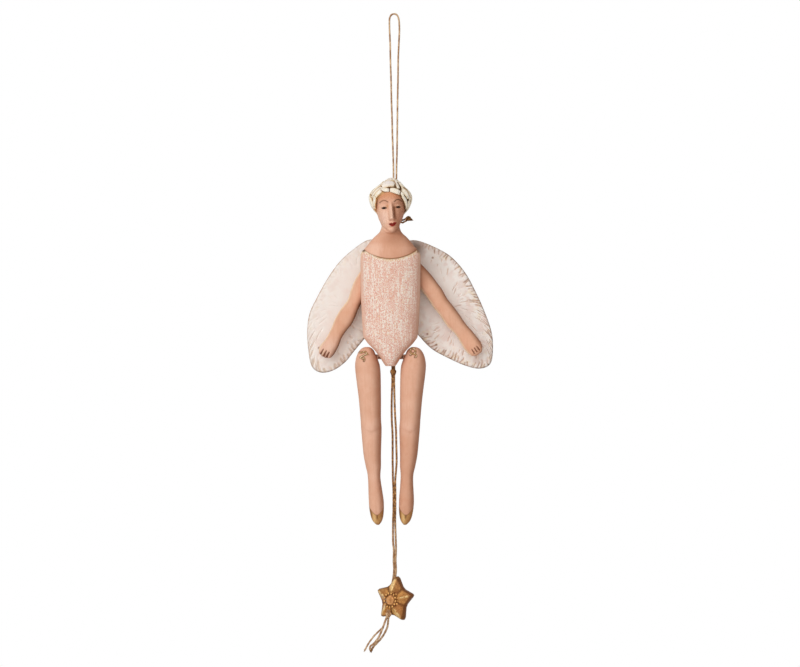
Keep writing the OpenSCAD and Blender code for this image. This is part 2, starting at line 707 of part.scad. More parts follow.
module leg_string(side) {
    lever_string([hip_x(side) - side * leg_tie[0], hip_z + leg_tie[1]], pull_knot_at[0] + side * 1.35);
}

// A strand of twine along a route
module strand(route, d = twine_d) {
    color(twine_gold)
        tube(smooth(route, 2), d);
}

// The two ends of the loop where they run through the head
module loop_core() {
    start = crown + (nape - crown) * 0.06;
    color(twine_gold)
        rod(start, nape, 2 * twine_d);
}

module nape_knot() {
    from = nape + unit(nape - crown) * 0.6;
    color(twine_gold) {
        for (z = [-0.6, 0.6])
            rod(from + [0, 0.3, z], nape_end + [0, 0.3, 0.6 * z], twine_d);
        translate(nape_end)
            knot(2.6, 3);
    }
}

module pull_knot() {
    color(twine_gold)
        translate(pull_knot_at)
            knot(3.3, 4.2);
}

// A puffed five-pointed star with ridges to its points, drilled for the cord
module star() {
    rim = [
        for (i = [0:9])
            let (a = 90 + 36 * i, r = i % 2 == 0 ? star_r : star_notch)
                [r * cos(a), r * sin(a)]
    ];
    points = [
        [0, -star_t / 2, 0],
        [0, star_t / 2, 0],
        for (p = rim) [p[0], -star_edge / 2, p[1]],
        for (p = rim) [p[0], star_edge / 2, p[1]]
    ];
    faces = [
        for (i = [0:9])
            let (j = (i + 1) % 10)
                each [
                    [0, 2 + j, 2 + i],
                    [1, 12 + i, 12 + j],
                    [2 + i, 12 + j, 12 + i],
                    [2 + i, 2 + j, 12 + j]
                ]
    ];
    color(star_gold)
        difference() {
            translate(star_at)
                rotate([0, star_tilt, -star_turn])
                    polyhedron(points = points, faces = faces);
            rod(star_bore_top, star_bore_end, star_bore_d);
        }
}

module star_knot() {
    color(twine_gold)
        translate(star_knot_at)
            knot(2.8, 2.4);
}

module tail_knot() {
    color(twine_gold)
        translate(tail_knot_at)
            knot(2, 2.2);
}

torso_front();
bust();
hair();
back_board();
spacer_pegs();
wing(wing_left_edge, -1);  // wing_left
wing(wing_right_edge, 1);  // wing_right
wing_nails();
shoulder_pin(-1);  // shoulder_pin_left
shoulder_pin(1);  // shoulder_pin_right
arm(-1, arm_rest_left);  // arm_left
arm(1, arm_rest_right);  // arm_right
hip_cord(-1);  // hip_cord_left
hip_cord(1);  // hip_cord_right
leg(-1);  // leg_left
leg(1);  // leg_right
strand(loop_route);  // hanging_loop
loop_core();
nape_knot();
arm_string(-1);  // arm_string_left
arm_string(1);  // arm_string_right
leg_string(-1);  // leg_string_left
leg_string(1);  // leg_string_right
pull_knot();
strand(strand_left_route, pull_d);  // pull_strand_left
strand(strand_right_route, pull_d);  // pull_strand_right
star();
star_knot();
strand(tail_long_route);  // tail_long
strand(tail_left_route);  // tail_left
strand(tail_right_route);  // tail_right
tail_knot();
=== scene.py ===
import math

import bmesh
import bpy
from mathutils import Matrix, Vector, noise


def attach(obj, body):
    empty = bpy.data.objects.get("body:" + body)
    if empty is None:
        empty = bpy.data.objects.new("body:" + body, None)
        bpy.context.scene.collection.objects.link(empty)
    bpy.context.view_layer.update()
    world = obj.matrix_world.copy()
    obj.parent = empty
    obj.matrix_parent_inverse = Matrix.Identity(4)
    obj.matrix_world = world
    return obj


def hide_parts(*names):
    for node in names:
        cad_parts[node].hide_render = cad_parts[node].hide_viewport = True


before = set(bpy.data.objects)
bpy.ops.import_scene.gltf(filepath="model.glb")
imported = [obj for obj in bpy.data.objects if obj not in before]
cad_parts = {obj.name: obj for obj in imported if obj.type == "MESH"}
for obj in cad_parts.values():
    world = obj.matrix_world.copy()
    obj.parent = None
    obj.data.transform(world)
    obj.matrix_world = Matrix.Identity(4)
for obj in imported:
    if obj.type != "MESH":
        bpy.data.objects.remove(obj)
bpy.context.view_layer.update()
mm = 0.001
tau = math.tau

# Sizes of the figure in millimetres, as in the part's source
figure_x = -1.75
chin_z = -109.0
torso_top = -117.5
torso_low = -175.5
neck_arc_r = 21.527
neck_arc_z = -100.573
neck_half = 13.3
front_y = 1.0
arm_y = 4.4
leg_y = 1.8
lever_front = 4.2
lever_back = 7.3
string_y = 2.6
shoulder_z = -125.0
hip_z = -169.5
pin_x = {"left": -10.5, "right": 9.5}
hip_x = {"left": -13.5, "right": 10.0}
inward = {"left": 1, "right": -1}
arm_tie, leg_tie = (4, 4), (6.93, 4.0)
wing_mid = 2.25
wing_front = 10.8
wing_back = 14.3


def tone(r, g, b):
    """A colour as seen on a screen, made linear."""
    return tuple(((c / 255 + 0.055) / 1.055) ** 2.4 if c > 10 else c / 255 / 12.92 for c in (r, g, b))


def mixed(a, b, f):
    """The colour a with the share f of the colour b."""
    f = min(max(f, 0), 1)
    return tuple(p + (q - p) * f for p, q in zip(a, b))


def dab(c, rgb, share):
    """A share of a colour, as seen on a screen, laid over the colour c."""
    return mixed(c, tone(*rgb), share)


def ease(low, high, v):
    """0 at low and 1 at high, with a soft start and end."""
    f = min(max((v - low) / (high - low), 0), 1)
    return f * f * (3 - 2 * f)


def window(v, start, full, fade, end):
    """1 between full and fade, easing to 0 at start and at end."""
    return ease(start, full, v) * ease(end, fade, v)


def bump(v, middle, reach):
    """A bell that is 1 in the middle."""
    return math.exp(-(((v - middle) / reach) ** 2))


def spot(u, at, wide, v, up, tall):
    """A soft round spot, 1 in its middle."""
    return bump(u, at, wide) * bump(v, up, tall)


def spun(a, b, angle):
    """The pair a, b turned by an angle, from b towards a."""
    c, s = math.cos(angle), math.sin(angle)
    return a * c + b * s, b * c - a * s


def speckle(p, scale, shift=0.0):
    """Even cloudy noise from 0 to 1 at a point given in millimetres."""
    return 0.5 + 0.5 * noise.fractal(Vector((p.x + shift, p.y - shift, p.z)) / scale, 1.0, 2.0, 3)


def chance(*keys):
    """An even number from 0 to 1 that is always the same for the same keys."""
    mixed_keys = sum(k * f for k, f in zip(keys, (12.9898, 78.233, 37.719, 11.135)))
    return (math.sin(mixed_keys) * 43758.5453) % 1


def smooth_row(rows, t):
    """One row of a table, read between its rows on a smooth line through them."""
    last = len(rows) - 1
    i = min(max(int(t), 0), last - 1)
    f = t - i
    a, b, c, d = (rows[min(max(k, 0), last)] for k in (i - 1, i, i + 1, i + 2))
    return [
        0.5 * (2 * q + (r - p) * f + (2 * p - 5 * q + 4 * r - s) * f * f + (3 * q - p - 3 * r + s) * f ** 3)
        for p, q, r, s in zip(a, b, c, d)
    ]


def fine_rows(rows, steps):
    return [smooth_row(rows, k / steps) for k in range(steps * (len(rows) - 1) + 1)]


def read(table, v):
    """A row of a table whose first column runs down, at the value v of that column."""
    if v >= table[0][0]:
        return table[0]
    for a, b in zip(table, table[1:]):
        if v >= b[0]:
            f = (a[0] - v) / max(a[0] - b[0], 1e-9)
            return [p + (q - p) * f for p, q in zip(a, b)]
    return table[-1]


def even_line(points, step, smooth=True):
    """Points an even step apart on a line through the given ones."""
    fine = [Vector(p) for p in (fine_rows(points, 16) if smooth else points)]
    runs = [0.0]
    for a, b in zip(fine, fine[1:]):
        runs.append(runs[-1] + (b - a).length)
    count = max(3, round(runs[-1] / step) + 1)
    out, k = [], 0
    for n in range(count):
        want = runs[-1] * n / (count - 1)
        while k < len(runs) - 2 and runs[k + 1] < want:
            k += 1
        out.append(fine[k].lerp(fine[k + 1], (want - runs[k]) / max(runs[k + 1] - runs[k], 1e-9)))
    return out


def from_chin(rows, steps):
    """A smoothed table whose first column is the height over the chin."""
    return [(chin_z + up, *rest) for up, *rest in fine_rows(rows, steps)]


# Making of meshes
def outward(bm):
    """Turn the faces of a closed solid so that they look outwards."""
    bmesh.ops.recalc_face_normals(bm, faces=bm.faces)
    if bm.calc_volume(signed=True) < 0:
        bmesh.ops.reverse_faces(bm, faces=bm.faces)
    return bm


def sleeve(around, levels, point):
    """A round sleeve closed at both ends, whose rings are then put where point(turn, level) says."""
    bm = bmesh.new()
    bmesh.ops.create_cone(bm, cap_ends=True, cap_tris=True, segments=around, radius1=1, radius2=1, depth=1)
    ribs = [e for e in bm.edges if abs(e.verts[0].co.z - e.verts[1].co.z) > 0.5]
    if levels > 2:
        bmesh.ops.subdivide_edges(bm, edges=ribs, cuts=levels - 2, use_grid_fill=True)
    poles = []
    for v in bm.verts:
        if v.co.xy.length < 0.5:
            poles.append(v)
            continue
        level = round((0.5 - v.co.z) * (levels - 1))
        turn = (round(math.atan2(v.co.y, v.co.x) / tau * around) % around) / around
        v.co = point(turn, level)
    for v in poles:
        near = [e.other_vert(v).co for e in v.link_edges]
        v.co = sum(near, Vector()) / len(near)
    bmesh.ops.remove_doubles(bm, verts=bm.verts, dist=0.0005)
    return outward(bm)


def side_frames(line):
    """For each point of a line, two directions square to it that don't spin."""
    frames, side = [], None
    last = len(line) - 1
    for i in range(last + 1):
        ahead = (line[min(i + 1, last)] - line[max(i - 1, 0)]).normalized()
        if side is None:
            side = ahead.cross(Vector((0, 1, 0)))
            if side.length < 0.1:
                side = ahead.cross(Vector((0, 0, 1)))
        side = (side - ahead * side.dot(ahead)).normalized()
        frames.append((side, side.cross(ahead)))
    return frames


def twine(line, d, pitch=2.6, ends=1.0, around=10):
    """Two twisted plies along a line, thinned at both ends by the share ends."""
    frames = side_frames(line)
    step = (line[1] - line[0]).length
    last = len(line) - 1

    def point(turn, level):
        side, out = frames[level]
        a = tau * turn
        lobe = 0.84 + 0.26 * abs(math.cos(a - math.pi * level * step / pitch))
        close = min(level, last - level) * step
        r = d / 2 * lobe * (ends + (1 - ends) * ease(0, d, close))
        return line[level] + r * (math.cos(a) * side + math.sin(a) * out)

    return sleeve(around, last + 1, point)


def joined(parts):
    """One mesh of several; the parts are used up."""
    whole = bmesh.new()
    for bm in parts:
        mesh = bpy.data.meshes.new("part")
        bm.to_mesh(mesh)
        bm.free()
        whole.from_mesh(mesh)
        bpy.data.meshes.remove(mesh)
    return whole


def piece(name, bm, body, finish, stands_for=(), paint=None):
    """A mesh drawn in millimetres becomes a piece that rides on a body."""
    bm.normal_update()
    if paint:
        layer = bm.verts.layers.float_color.new("paint")
        for v in bm.verts:
            colour = paint(v.co, v.normal)
            v[layer] = colour if len(colour) == 4 else (*colour, 1)
    bmesh.ops.scale(bm, vec=(mm, mm, mm), verts=bm.verts)
    for f in bm.faces:
        f.smooth = True
    mesh = bpy.data.meshes.new(name)
    bm.to_mesh(mesh)
    bm.free()
    obj = bpy.data.objects.new(name, mesh)
    bpy.context.scene.collection.objects.link(obj)
    mesh.materials.append(finish)
    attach(obj, body)
    if stands_for:
        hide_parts(*stands_for)
    return obj


# Making of finishes
def wire(tree, source, target):
    """Give an input a link from a socket, or a value or colour of its own."""
    if isinstance(source, bpy.types.NodeSocket):
        tree.links.new(source, target)
    else:
        target.default_value = (*source, 1) if target.type == "RGBA" else source


def add_node(tree, kind, inputs=None, **values):
    """A new node with its settings and its inputs, by name or number."""
    made = tree.nodes.new(kind)
    for key, value in values.items():
        setattr(made, key, value)
    for key, source in (inputs or {}).items():
        wire(tree, source, made.inputs[key])
    return made


class Finish:
    """A material on Object coordinates; sizes are in millimetres."""

    def __init__(self, name, rough, specular=0.35, metal=0.0):
        self.material = bpy.data.materials.new(name)
        self.material.use_nodes = True
        self.tree = self.material.node_tree
        self.shader = self.tree.nodes["Principled BSDF"].inputs
        self.shader["Roughness"].default_value = rough
        self.shader["Specular IOR Level"].default_value = specular
        self.shader["Metallic"].default_value = metal
        self.place = self.node("ShaderNodeTexCoord").outputs["Object"]

    def node(self, kind, inputs=None, **values):
        return add_node(self.tree, kind, inputs, **values)

    def paint(self, part="Color"):
        return self.node("ShaderNodeAttribute", attribute_name="paint").outputs[part]

    def noise(self, size, detail=3.0, rough=0.55, stretch=(1, 1, 1), bend=0.0):
        place = self.node("ShaderNodeMapping", {"Vector": self.place, "Scale": stretch}).outputs["Vector"]
        grain = {"Scale": 1 / (size * mm), "Detail": detail, "Roughness": rough, "Distortion": bend}
        return self.node("ShaderNodeTexNoise", {"Vector": place, **grain}).outputs["Fac"]

    def ramp(self, source, *stops):
        made = self.node("ShaderNodeValToRGB", {"Fac": source})
        marks = made.color_ramp.elements
        while len(marks) < len(stops):
            marks.new(0.5)
        for mark, (at, colour) in zip(marks, stops):
            mark.position = at
            mark.color = (colour, colour, colour, 1) if isinstance(colour, float) else (*colour, 1)
        return made.outputs["Color"]

    def blend(self, share, first, second, how="MIX"):
        inputs = {"Factor": share, "A": first, "B": second}
        return self.node("ShaderNodeMix", inputs, data_type="RGBA", blend_type=how).outputs["Result"]

    def over(self, under, source, start, end, rgb, how="MIX"):
        """A colour laid over what is under it, by a ramp of some noise."""
        return self.blend(self.ramp(source, start, end), under, tone(*rgb), how)

    def sum(self, first, second, how="ADD"):
        return self.node("ShaderNodeMath", {0: first, 1: second}, operation=how).outputs["Value"]

    def done(self, colour, rough, relief):
        """The material with a colour, a roughness from low to high and a relief of some depth."""
        grain, low, high = rough
        height, depth, strength = relief
        bumps = {"Strength": strength, "Distance": depth * mm, "Height": height}
        wire(self.tree, colour, self.shader["Base Color"])
        wire(self.tree, self.ramp(grain, (0.3, low), (0.7, high)), self.shader["Roughness"])
        wire(self.tree, self.node("ShaderNodeBump", bumps).outputs["Normal"], self.shader["Normal"])
        return self.material


def flesh_paint():
    f = Finish("smooth_flesh_paint", 0.55, 0.1)
    cloud = f.noise(4.0, 4, 0.6)
    fine = f.noise(0.5, 3, 0.6)
    streak = f.noise(0.7, 2, 0.5, (1, 1, 0.08))
    c = f.over(f.paint(), cloud, (0.4, 0.0), (0.75, 0.22), (236, 190, 164), "MULTIPLY")
    c = f.over(c, streak, (0.5, 0.0), (0.7, 0.18), (206, 146, 112))
    c = f.over(c, fine, (0.45, 0.0), (0.8, 0.1), (206, 150, 118))
    return f.done(c, (cloud, 0.5, 0.66), (fine, 0.04, 0.5))


def leotard_paint():
    """Cream dabs stippled down over salmon pink, with a few yellow and dark specks."""
    f = Finish("stippled_leotard_paint", 0.75, 0.1)
    dabs = f.noise(0.36, 1, 0.5, (1, 1, 0.6), 0.2)
    tracks = f.noise(0.8, 2, 0.5, (1, 0.4, 0.07), 0.3)
    pits = f.noise(0.5, 2, 0.6, (1, 1, 0.75))
    height = f.sum(dabs, f.sum(f.sum(tracks, 0.5, "SUBTRACT"), 0.65, "MULTIPLY"))
    c = f.over(f.paint(), dabs, (0.34, 0.7), (0.5, 0.0), (222, 150, 128))
    c = f.over(c, height, (0.47, 0.0), (0.6, 0.95), (254, 243, 232))
    c = f.over(c, f.noise(0.9, 2, 0.5), (0.6, 0.0), (0.68, 0.4), (246, 214, 164))
    c = f.over(c, pits, (0.66, 0.0), (0.73, 0.6), (176, 118, 96))
    c = f.blend(f.paint("Alpha"), f.paint(), c)
    return f.done(c, (dabs, 0.66, 0.85), (f.sum(height, f.paint("Alpha"), "MULTIPLY"), 0.3, 0.9))


def wing_paint():
    f = Finish("brushed_white_wing_paint", 0.65, 0.15)
    brush = f.noise(1.0, 4, 0.6, (1, 1, 1), 0.8)
    cloud = f.noise(6.0, 3, 0.5)
    fine = f.noise(0.35, 2, 0.6)
    c = f.over(f.paint(), cloud, (0.5, 0.0), (0.75, 0.25), (244, 220, 212))
    c = f.over(c, brush, (0.6, 0.0), (0.8, 0.25), (222, 206, 192))
    return f.done(c, (brush, 0.55, 0.75), (f.sum(brush, f.sum(fine, 0.4, "MULTIPLY")), 0.1, 0.7))


def hair_paint():
    f = Finish("cream_hair_paint", 0.5, 0.3)
    brush = f.noise(0.9, 3, 0.6, (1, 1, 1), 0.6)
    c = f.over(f.paint(), brush, (0.55, 0.0), (0.8, 0.12), (236, 214, 168))
    return f.done(c, (brush, 0.4, 0.6), (brush, 0.03, 0.35))


def star_gold():
    f = Finish("antique_gold_paint", 0.34, 0.2, 0.3)
    cloud = f.noise(2.2, 4, 0.65, (1, 1, 1), 0.4)
    c = f.over(f.paint(), cloud, (0.47, 0.0), (0.66, 0.55), (116, 64, 24))
    c = f.over(c, f.noise(0.5, 3, 0.6), (0.6, 0.0), (0.75, 0.12), (242, 190, 108))
    return f.done(c, (cloud, 0.26, 0.45), (cloud, 0.25, 0.7))


def twine_fibre():
    f = Finish("twisted_twine", 0.6, 0.3)
    fibre = f.noise(0.3, 3, 0.65, (1, 1, 0.4), 0.6)
    c = f.over(f.paint(), fibre, (0.36, 0.6), (0.54, 0.0), (100, 58, 26))
    return f.done(c, (fibre, 0.5, 0.75), (fibre, 0.12, 0.9))


def plain_wood():
    f = Finish("sanded_board_wood", 0.62, 0.3)
    grain = f.noise(1.1, 4, 0.6, (1, 0.6, 0.08), 0.5)
    pore = f.noise(0.25, 2, 0.5, (1, 1, 0.12))
    c = f.ramp(grain, (0.35, tone(206, 170, 124)), (0.62, tone(178, 136, 90)), (0.75, tone(214, 180, 136)))
    c = f.over(c, pore, (0.55, 0.0), (0.75, 0.5), (128, 92, 56))
    return f.done(c, (grain, 0.5, 0.7), (f.sum(grain, pore), 0.08, 0.7))


def nail_steel():
    f = Finish("dull_nail_steel", 0.42, 0.5, 0.9)
    scratch = f.noise(0.5, 3, 0.6)
    c = f.ramp(scratch, (0.35, tone(150, 148, 144)), (0.65, tone(108, 106, 103)))
    return f.done(c, (scratch, 0.32, 0.55), (scratch, 0.04, 0.6))


flesh = flesh_paint()
leotard = leotard_paint()
wing_white = wing_paint()
hair_cream = hair_paint()
gold = star_gold()
twine_look = twine_fibre()
board_wood = plain_wood()
steel = nail_steel()


# Camera, light and floor
def set_up_camera():
    camera = bpy.data.objects.new("camera", bpy.data.cameras.new("camera"))
    camera.data.lens = 100
    camera.data.sensor_width = 36
    camera.data.clip_start = 0.05
    camera.data.clip_end = 50
    camera.location = (0.003, -1.111, -0.15925)
    camera.rotation_euler = (math.pi / 2, 0, 0)
    bpy.context.scene.collection.objects.link(camera)
    bpy.context.scene.camera = camera
    bpy.context.scene.view_settings.view_transform = "Standard"


def soft_lamp(name, power, size, place, aim):
    lamp = bpy.data.objects.new(name, bpy.data.lights.new(name, "AREA"))
    lamp.data.energy = power
    lamp.data.size = size
    lamp.location = place
    lamp.rotation_euler = (Vector(aim) - Vector(place)).to_track_quat("-Z", "Y").to_euler()
    bpy.context.scene.collection.objects.link(lamp)


def seen_rays(tree):
    """1 where a ray comes from the camera or out of gloss or glass."""
    path = add_node(tree, "ShaderNodeLightPath")
    total = path.outputs["Is Camera Ray"]
    for name in ("Is Glossy Ray", "Is Transmission Ray"):
        both = {0: total, 1: path.outputs[name]}
        total = add_node(tree, "ShaderNodeMath", both, operation="MAXIMUM").outputs["Value"]
    return total


def set_up_world():
    """White to the camera, and a weaker, warmer light on the part."""
    room_light, room_tint = 0.38, (1, 0.94, 0.88)
    world = bpy.data.worlds.new("studio")
    bpy.context.scene.world = world
    world.use_nodes = True
    tree = world.node_tree
    seen = seen_rays(tree)
    strength = add_node(tree, "ShaderNodeMix", {"Factor": seen, "A": room_light, "B": 1.0})
    tints = {"Factor": seen, "A": room_tint, "B": (1, 1, 1)}
    tint = add_node(tree, "ShaderNodeMix", tints, data_type="RGBA")
    back = tree.nodes["Background"].inputs
    wire(tree, strength.outputs["Result"], back["Strength"])
    wire(tree, tint.outputs["Result"], back["Color"])


def lay_floor():
    """A pale floor far below the part, white to the camera."""
    floor_half, floor_at, grey = 9, (0, 4, -0.62), 0.92
    bm = bmesh.new()
    bmesh.ops.create_grid(bm, x_segments=8, y_segments=8, size=floor_half)
    bmesh.ops.translate(bm, verts=bm.verts, vec=floor_at)
    mesh = bpy.data.meshes.new("floor")
    bm.to_mesh(mesh)
    bm.free()
    floor = bpy.data.objects.new("floor", mesh)
    bpy.context.scene.collection.objects.link(floor)
    pale = bpy.data.materials.new("pale_floor")
    pale.use_nodes = True
    tree = pale.node_tree
    base = tree.nodes["Principled BSDF"]
    base.inputs["Base Color"].default_value = (grey, grey, grey, 1)
    base.inputs["Roughness"].default_value = 0.8
    place = add_node(tree, "ShaderNodeTexCoord").outputs["Object"]
    away = add_node(tree, "ShaderNodeVectorMath", {0: place}, operation="LENGTH").outputs["Value"]
    reach = {"Value": away, "From Min": 0.7, "From Max": 1.6, "To Min": 0.85, "To Max": 1.0}
    fade = add_node(tree, "ShaderNodeMapRange", reach).outputs["Result"]
    share = add_node(tree, "ShaderNodeMath", {0: seen_rays(tree), 1: fade}, operation="MULTIPLY")
    white = add_node(tree, "ShaderNodeEmission").outputs["Emission"]
    mix = {"Fac": share.outputs["Value"], 1: base.outputs["BSDF"], 2: white}
    shown = add_node(tree, "ShaderNodeMixShader", mix).outputs["Shader"]
    wire(tree, shown, tree.nodes["Material Output"].inputs["Surface"])
    mesh.materials.append(pale)


lamp_aim = (0, 0, -0.16)
set_up_camera()
set_up_world()
soft_lamp("key_lamp", 13.0, 1.5, (-0.56, -1.2, 0.4), lamp_aim)
soft_lamp("fill_lamp", 0.6, 0.9, (0.4, -1.4, -0.1), lamp_aim)
lay_floor()

# Cords: the hanging loop and the two pull strands with their tails
loop_route = [
    (-0.2, 0, -82.6), (-0.3, 0, -75), (-0.5, 0, -68), (-0.8, 0, -60), (-1, 0, -51), (-1.3, 0, -42),
    (-1.5, 0, -32), (-1.8, 0, -22), (-1.9, 0, -15), (-2.2, 0, -8), (-2.3, 0, -4), (-2.2, 0, -1.8),
    (-1.6, 0, -0.3), (-0.7, 0, 0.4), (0, 0, 0.5), (0.8, 0, 0.4), (1.7, 0, -0.3), (2.3, 0, -1.8),
    (2.6, 0, -4), (2.7, 0, -8), (2.4, 0, -15), (2.1, 0, -22), (2, 0, -32), (1.8, 0, -42),
    (1.7, 0, -51), (1.6, 0, -60), (1.5, 0, -68), (1.3, 0, -75), (1.2, 0, -82.6),
]
# Height, depth, and across for the left and the right pull strand
strand_rows = [
    (-179.8, 2.6, -1, 0.2), (-184, 2.6, -1, 0.2), (-190, 2.6, -1.1, 0.2), (-197, 2.6, -1.2, 0.4),
    (-203, 2.6, -1.1, 0.7), (-208, 2.6, -0.8, 1), (-213, 2.6, -0.7, 1.1), (-223, 2.6, -0.7, 1.3),
    (-228, 2.6, -0.6, 1), (-233, 2.6, -0.6, 0.7), (-238, 2.6, -0.4, 0.8), (-248, 2.6, -0.4, 0.8),
    (-253, 2.6, -0.6, 0.7), (-263, 2.6, -0.6, 1), (-268, 2.6, -0.2, 1.1), (-273, 2.6, -0.3, 0.9),
    (-278, 2.6, -0.1, 1.1), (-283, 2.6, -0.7, 0.5), (-290.5, 2.75, -2.1, -0.9), (-298.5, 2.9, -3.5, -2.3),
]
tail_long_route = [
    (-3.4, 2.4, -300.6), (-4.2, 2.4, -303.1), (-5.5, 2.4, -306.3), (-7.2, 2.4, -308), (-10, 2.4, -310.8),
    (-12.8, 2.4, -314.6), (-14.7, 2.4, -318.1),
]
tail_routes = {
    "left": [
        (-3.6, 1.5, -300.9), (-4.6, 1, -303.7), (-5.9, 0.9, -307.2), (-7.7, 0.9, -311.3),
        (-9.9, 0.9, -314.2), (-11.9, 1, -315.9), (-11.8, 1.2, -317.6),
    ],
    "right": [
        (-2.7, 3.3, -301), (-2.9, 3.7, -303.1), (-3.3, 3.8, -306.3), (-4.5, 3.8, -309.1),
        (-6.1, 3.8, -311.7), (-8.3, 3.6, -314.2), (-10.2, 3.2, -316.2), (-11.2, 2.6, -317.7),
    ],
}
twine_d = 1.0
pull_d = 1.2
twine_step = 0.4


def twine_paint(light, dark, size=2.2):
    """Colours for a cord that is lighter and darker by turns."""
    return lambda p, n: mixed(light, dark, ease(0.35, 0.65, speckle(p, size, 5)))


tan_twine = twine_paint(tone(228, 194, 154), tone(182, 138, 100))
brown_twine = twine_paint(tone(184, 132, 76), tone(108, 68, 32), 1.0)
dull_twine = twine_paint(tone(212, 164, 106), tone(128, 84, 44), 1.0)
pale_twine = twine_paint(tone(252, 228, 184), tone(202, 152, 96), 1.2)


def pull_paint(top):
    """A pull strand's own colour down to the feet, then paler, and palest in the tails."""
    def paint(p, n):
        paler = 0.65 * ease(-252, -259, p.z) + 0.35 * ease(-296, -303, p.z)
        return mixed(top(p, n), tan_twine(p, n), paler)

    return paint


def overhand(middle, wide, tall, d, turn=0.0):
    """A tight three-looped knot that fits a width and a height."""
    line, steps = [], 96
    for k in range(steps + 1):
        t = tau * k / steps + turn
        x = math.sin(t) + 2 * math.sin(2 * t)
        z = math.cos(t) - 2 * math.cos(2 * t)
        y = -math.sin(3 * t)
        line.append(Vector(middle) + Vector((x / 6 * (wide - d), y * d * 0.55, z / 6 * (tall - d))))
    return twine(line, d, 1.8, 0.9)


def frayed(at, ahead, spread, long, count, d):
    """Loose fibres that fan out from a cut end."""
    ahead = Vector(ahead).normalized()
    side = ahead.cross(Vector((0, 1, 0))).normalized()
    out = side.cross(ahead)
    parts = []
    for k in range(count):
        a = tau * k * 0.382
        r = math.sqrt((k + 0.5) / count)
        lean = (math.cos(a) * side + math.sin(a) * out) * r
        tip = long * (0.75 + 0.25 * math.sin(5 * k))
        line = [
            Vector(at) + lean * d * 0.3 * (1 - f) + ahead * tip * f + lean * spread * f * f
            for f in (0, 0.35, 0.7, 1)
        ]
        parts.append(twine(even_line(line, 0.3), d * 0.34, 1.6, 0.35, 6))
    return parts


def strand_route(side):
    """A pull strand, moved against the other one where the two lie together."""
    step = 0.12 * inward[side]
    return [
        ((left if side == "left" else right) + step * max(ease(-188, -184, z), ease(-228, -236, z)), y, z)
        for z, y, left, right in strand_rows
    ]


def twine_piece(name, parts, nodes, look, body="pull"):
    return piece(name, joined(parts), body, twine_look, nodes, look)


def hang_cords():
    loop = even_line(loop_route, twine_step)
    obj = twine_piece("hanging_twine", [twine(loop, twine_d)], ["hanging_loop"], tan_twine, "figure")
    knots = [overhand((-0.4, 2.4, -178.8), 3.5, 4.0, 1.4)]
    knot = twine_piece("pull_knot_twine", knots, ["pull_knot"], brown_twine)
    knots = [overhand((-2.7, 0.9, -300.0), 3.3, 3.0, 1.05, 0.6)]
    star_knot = twine_piece("star_knot_twine", knots, ["star_knot"], tan_twine)
    knots = [overhand((-11.5, 2, -317.9), 2.0, 2.0, 0.75)]
    knots += frayed((-11.5, 1.9, -318.3), (-0.3, 0, -1), 0.7, 0.9, 9, 1)
    end_knot = twine_piece("tail_knot_twine", knots, ["tail_knot"], brown_twine)
    third = even_line(tail_long_route, twine_step)
    parts = [twine(third, twine_d)] + frayed(third[-1], third[-1] - third[-4], 0.5, 0.8, 7, 1)
    loose = twine_piece("third_tail_twine", parts, ["tail_long"], tan_twine)
    for side, look, extra in (
        ("left", brown_twine, [knot, star_knot, loose]),
        ("right", dull_twine, [end_knot]),
    ):
        line = even_line(strand_route(side) + tail_routes[side], twine_step)
        nodes = [f"pull_strand_{side}", f"tail_{side}"]
        obj = twine_piece(f"pull_twine_{side}", [twine(line, pull_d)], nodes, pull_paint(look))


hang_cords()


# Leotard: height, half width and depth
torso_table = fine_rows(
    [
        (-117.5, 14.9, 7.8), (-125.6, 15.0, 9.7), (-139.5, 14.8, 10.5), (-151.5, 14.25, 10.1),
        (-159.5, 13.7, 9.3), (-161.5, 13.3, 9.0),
    ],
    12,
) + [(-164.3, 11.2, 8.5), (-167.4, 8.1, 7.9), (-171.2, 5.2, 7.1), (-174.5, 3.2, 5.9), (-175.5, 2.4, 4.9)]
torso_side = 2.0


def neckline(x):
    """Height of the scooped neckline across the figure, rounded off at its corners."""
    off = abs(x - figure_x)
    if off > neck_half:
        return torso_top - 2.4 * ((off - neck_half) / 1.6) ** 1.5
    return neck_arc_z - math.sqrt(neck_arc_r ** 2 - off ** 2)


def corner_dot(p):
    """The dark dots at the two ends of the neckline."""
    dots = (-15.1, -118.0), (12.1, -118.4)
    return 0.9 * max(ease(1.1, 0.4, math.hypot(p.x - x, p.z - z)) for x, z in dots)


def front_share(n):
    """1 on what looks to the front."""
    return ease(0.3, -0.1, n.y)


def painted_side_light(c, n, share=0.6, start=0.15, pale=0.0):
    """Painted light on flesh: a painted highlight on the left edges of the front, in the share pale, and
    painted shade in brown on the right-facing faces.
    """
    c = dab(c, (254, 230, 198), pale * front_share(n) * ease(-0.6, -0.9, n.x))
    return dab(c, (146, 86, 54), share * front_share(n) * ease(start, start + 0.7, n.x))


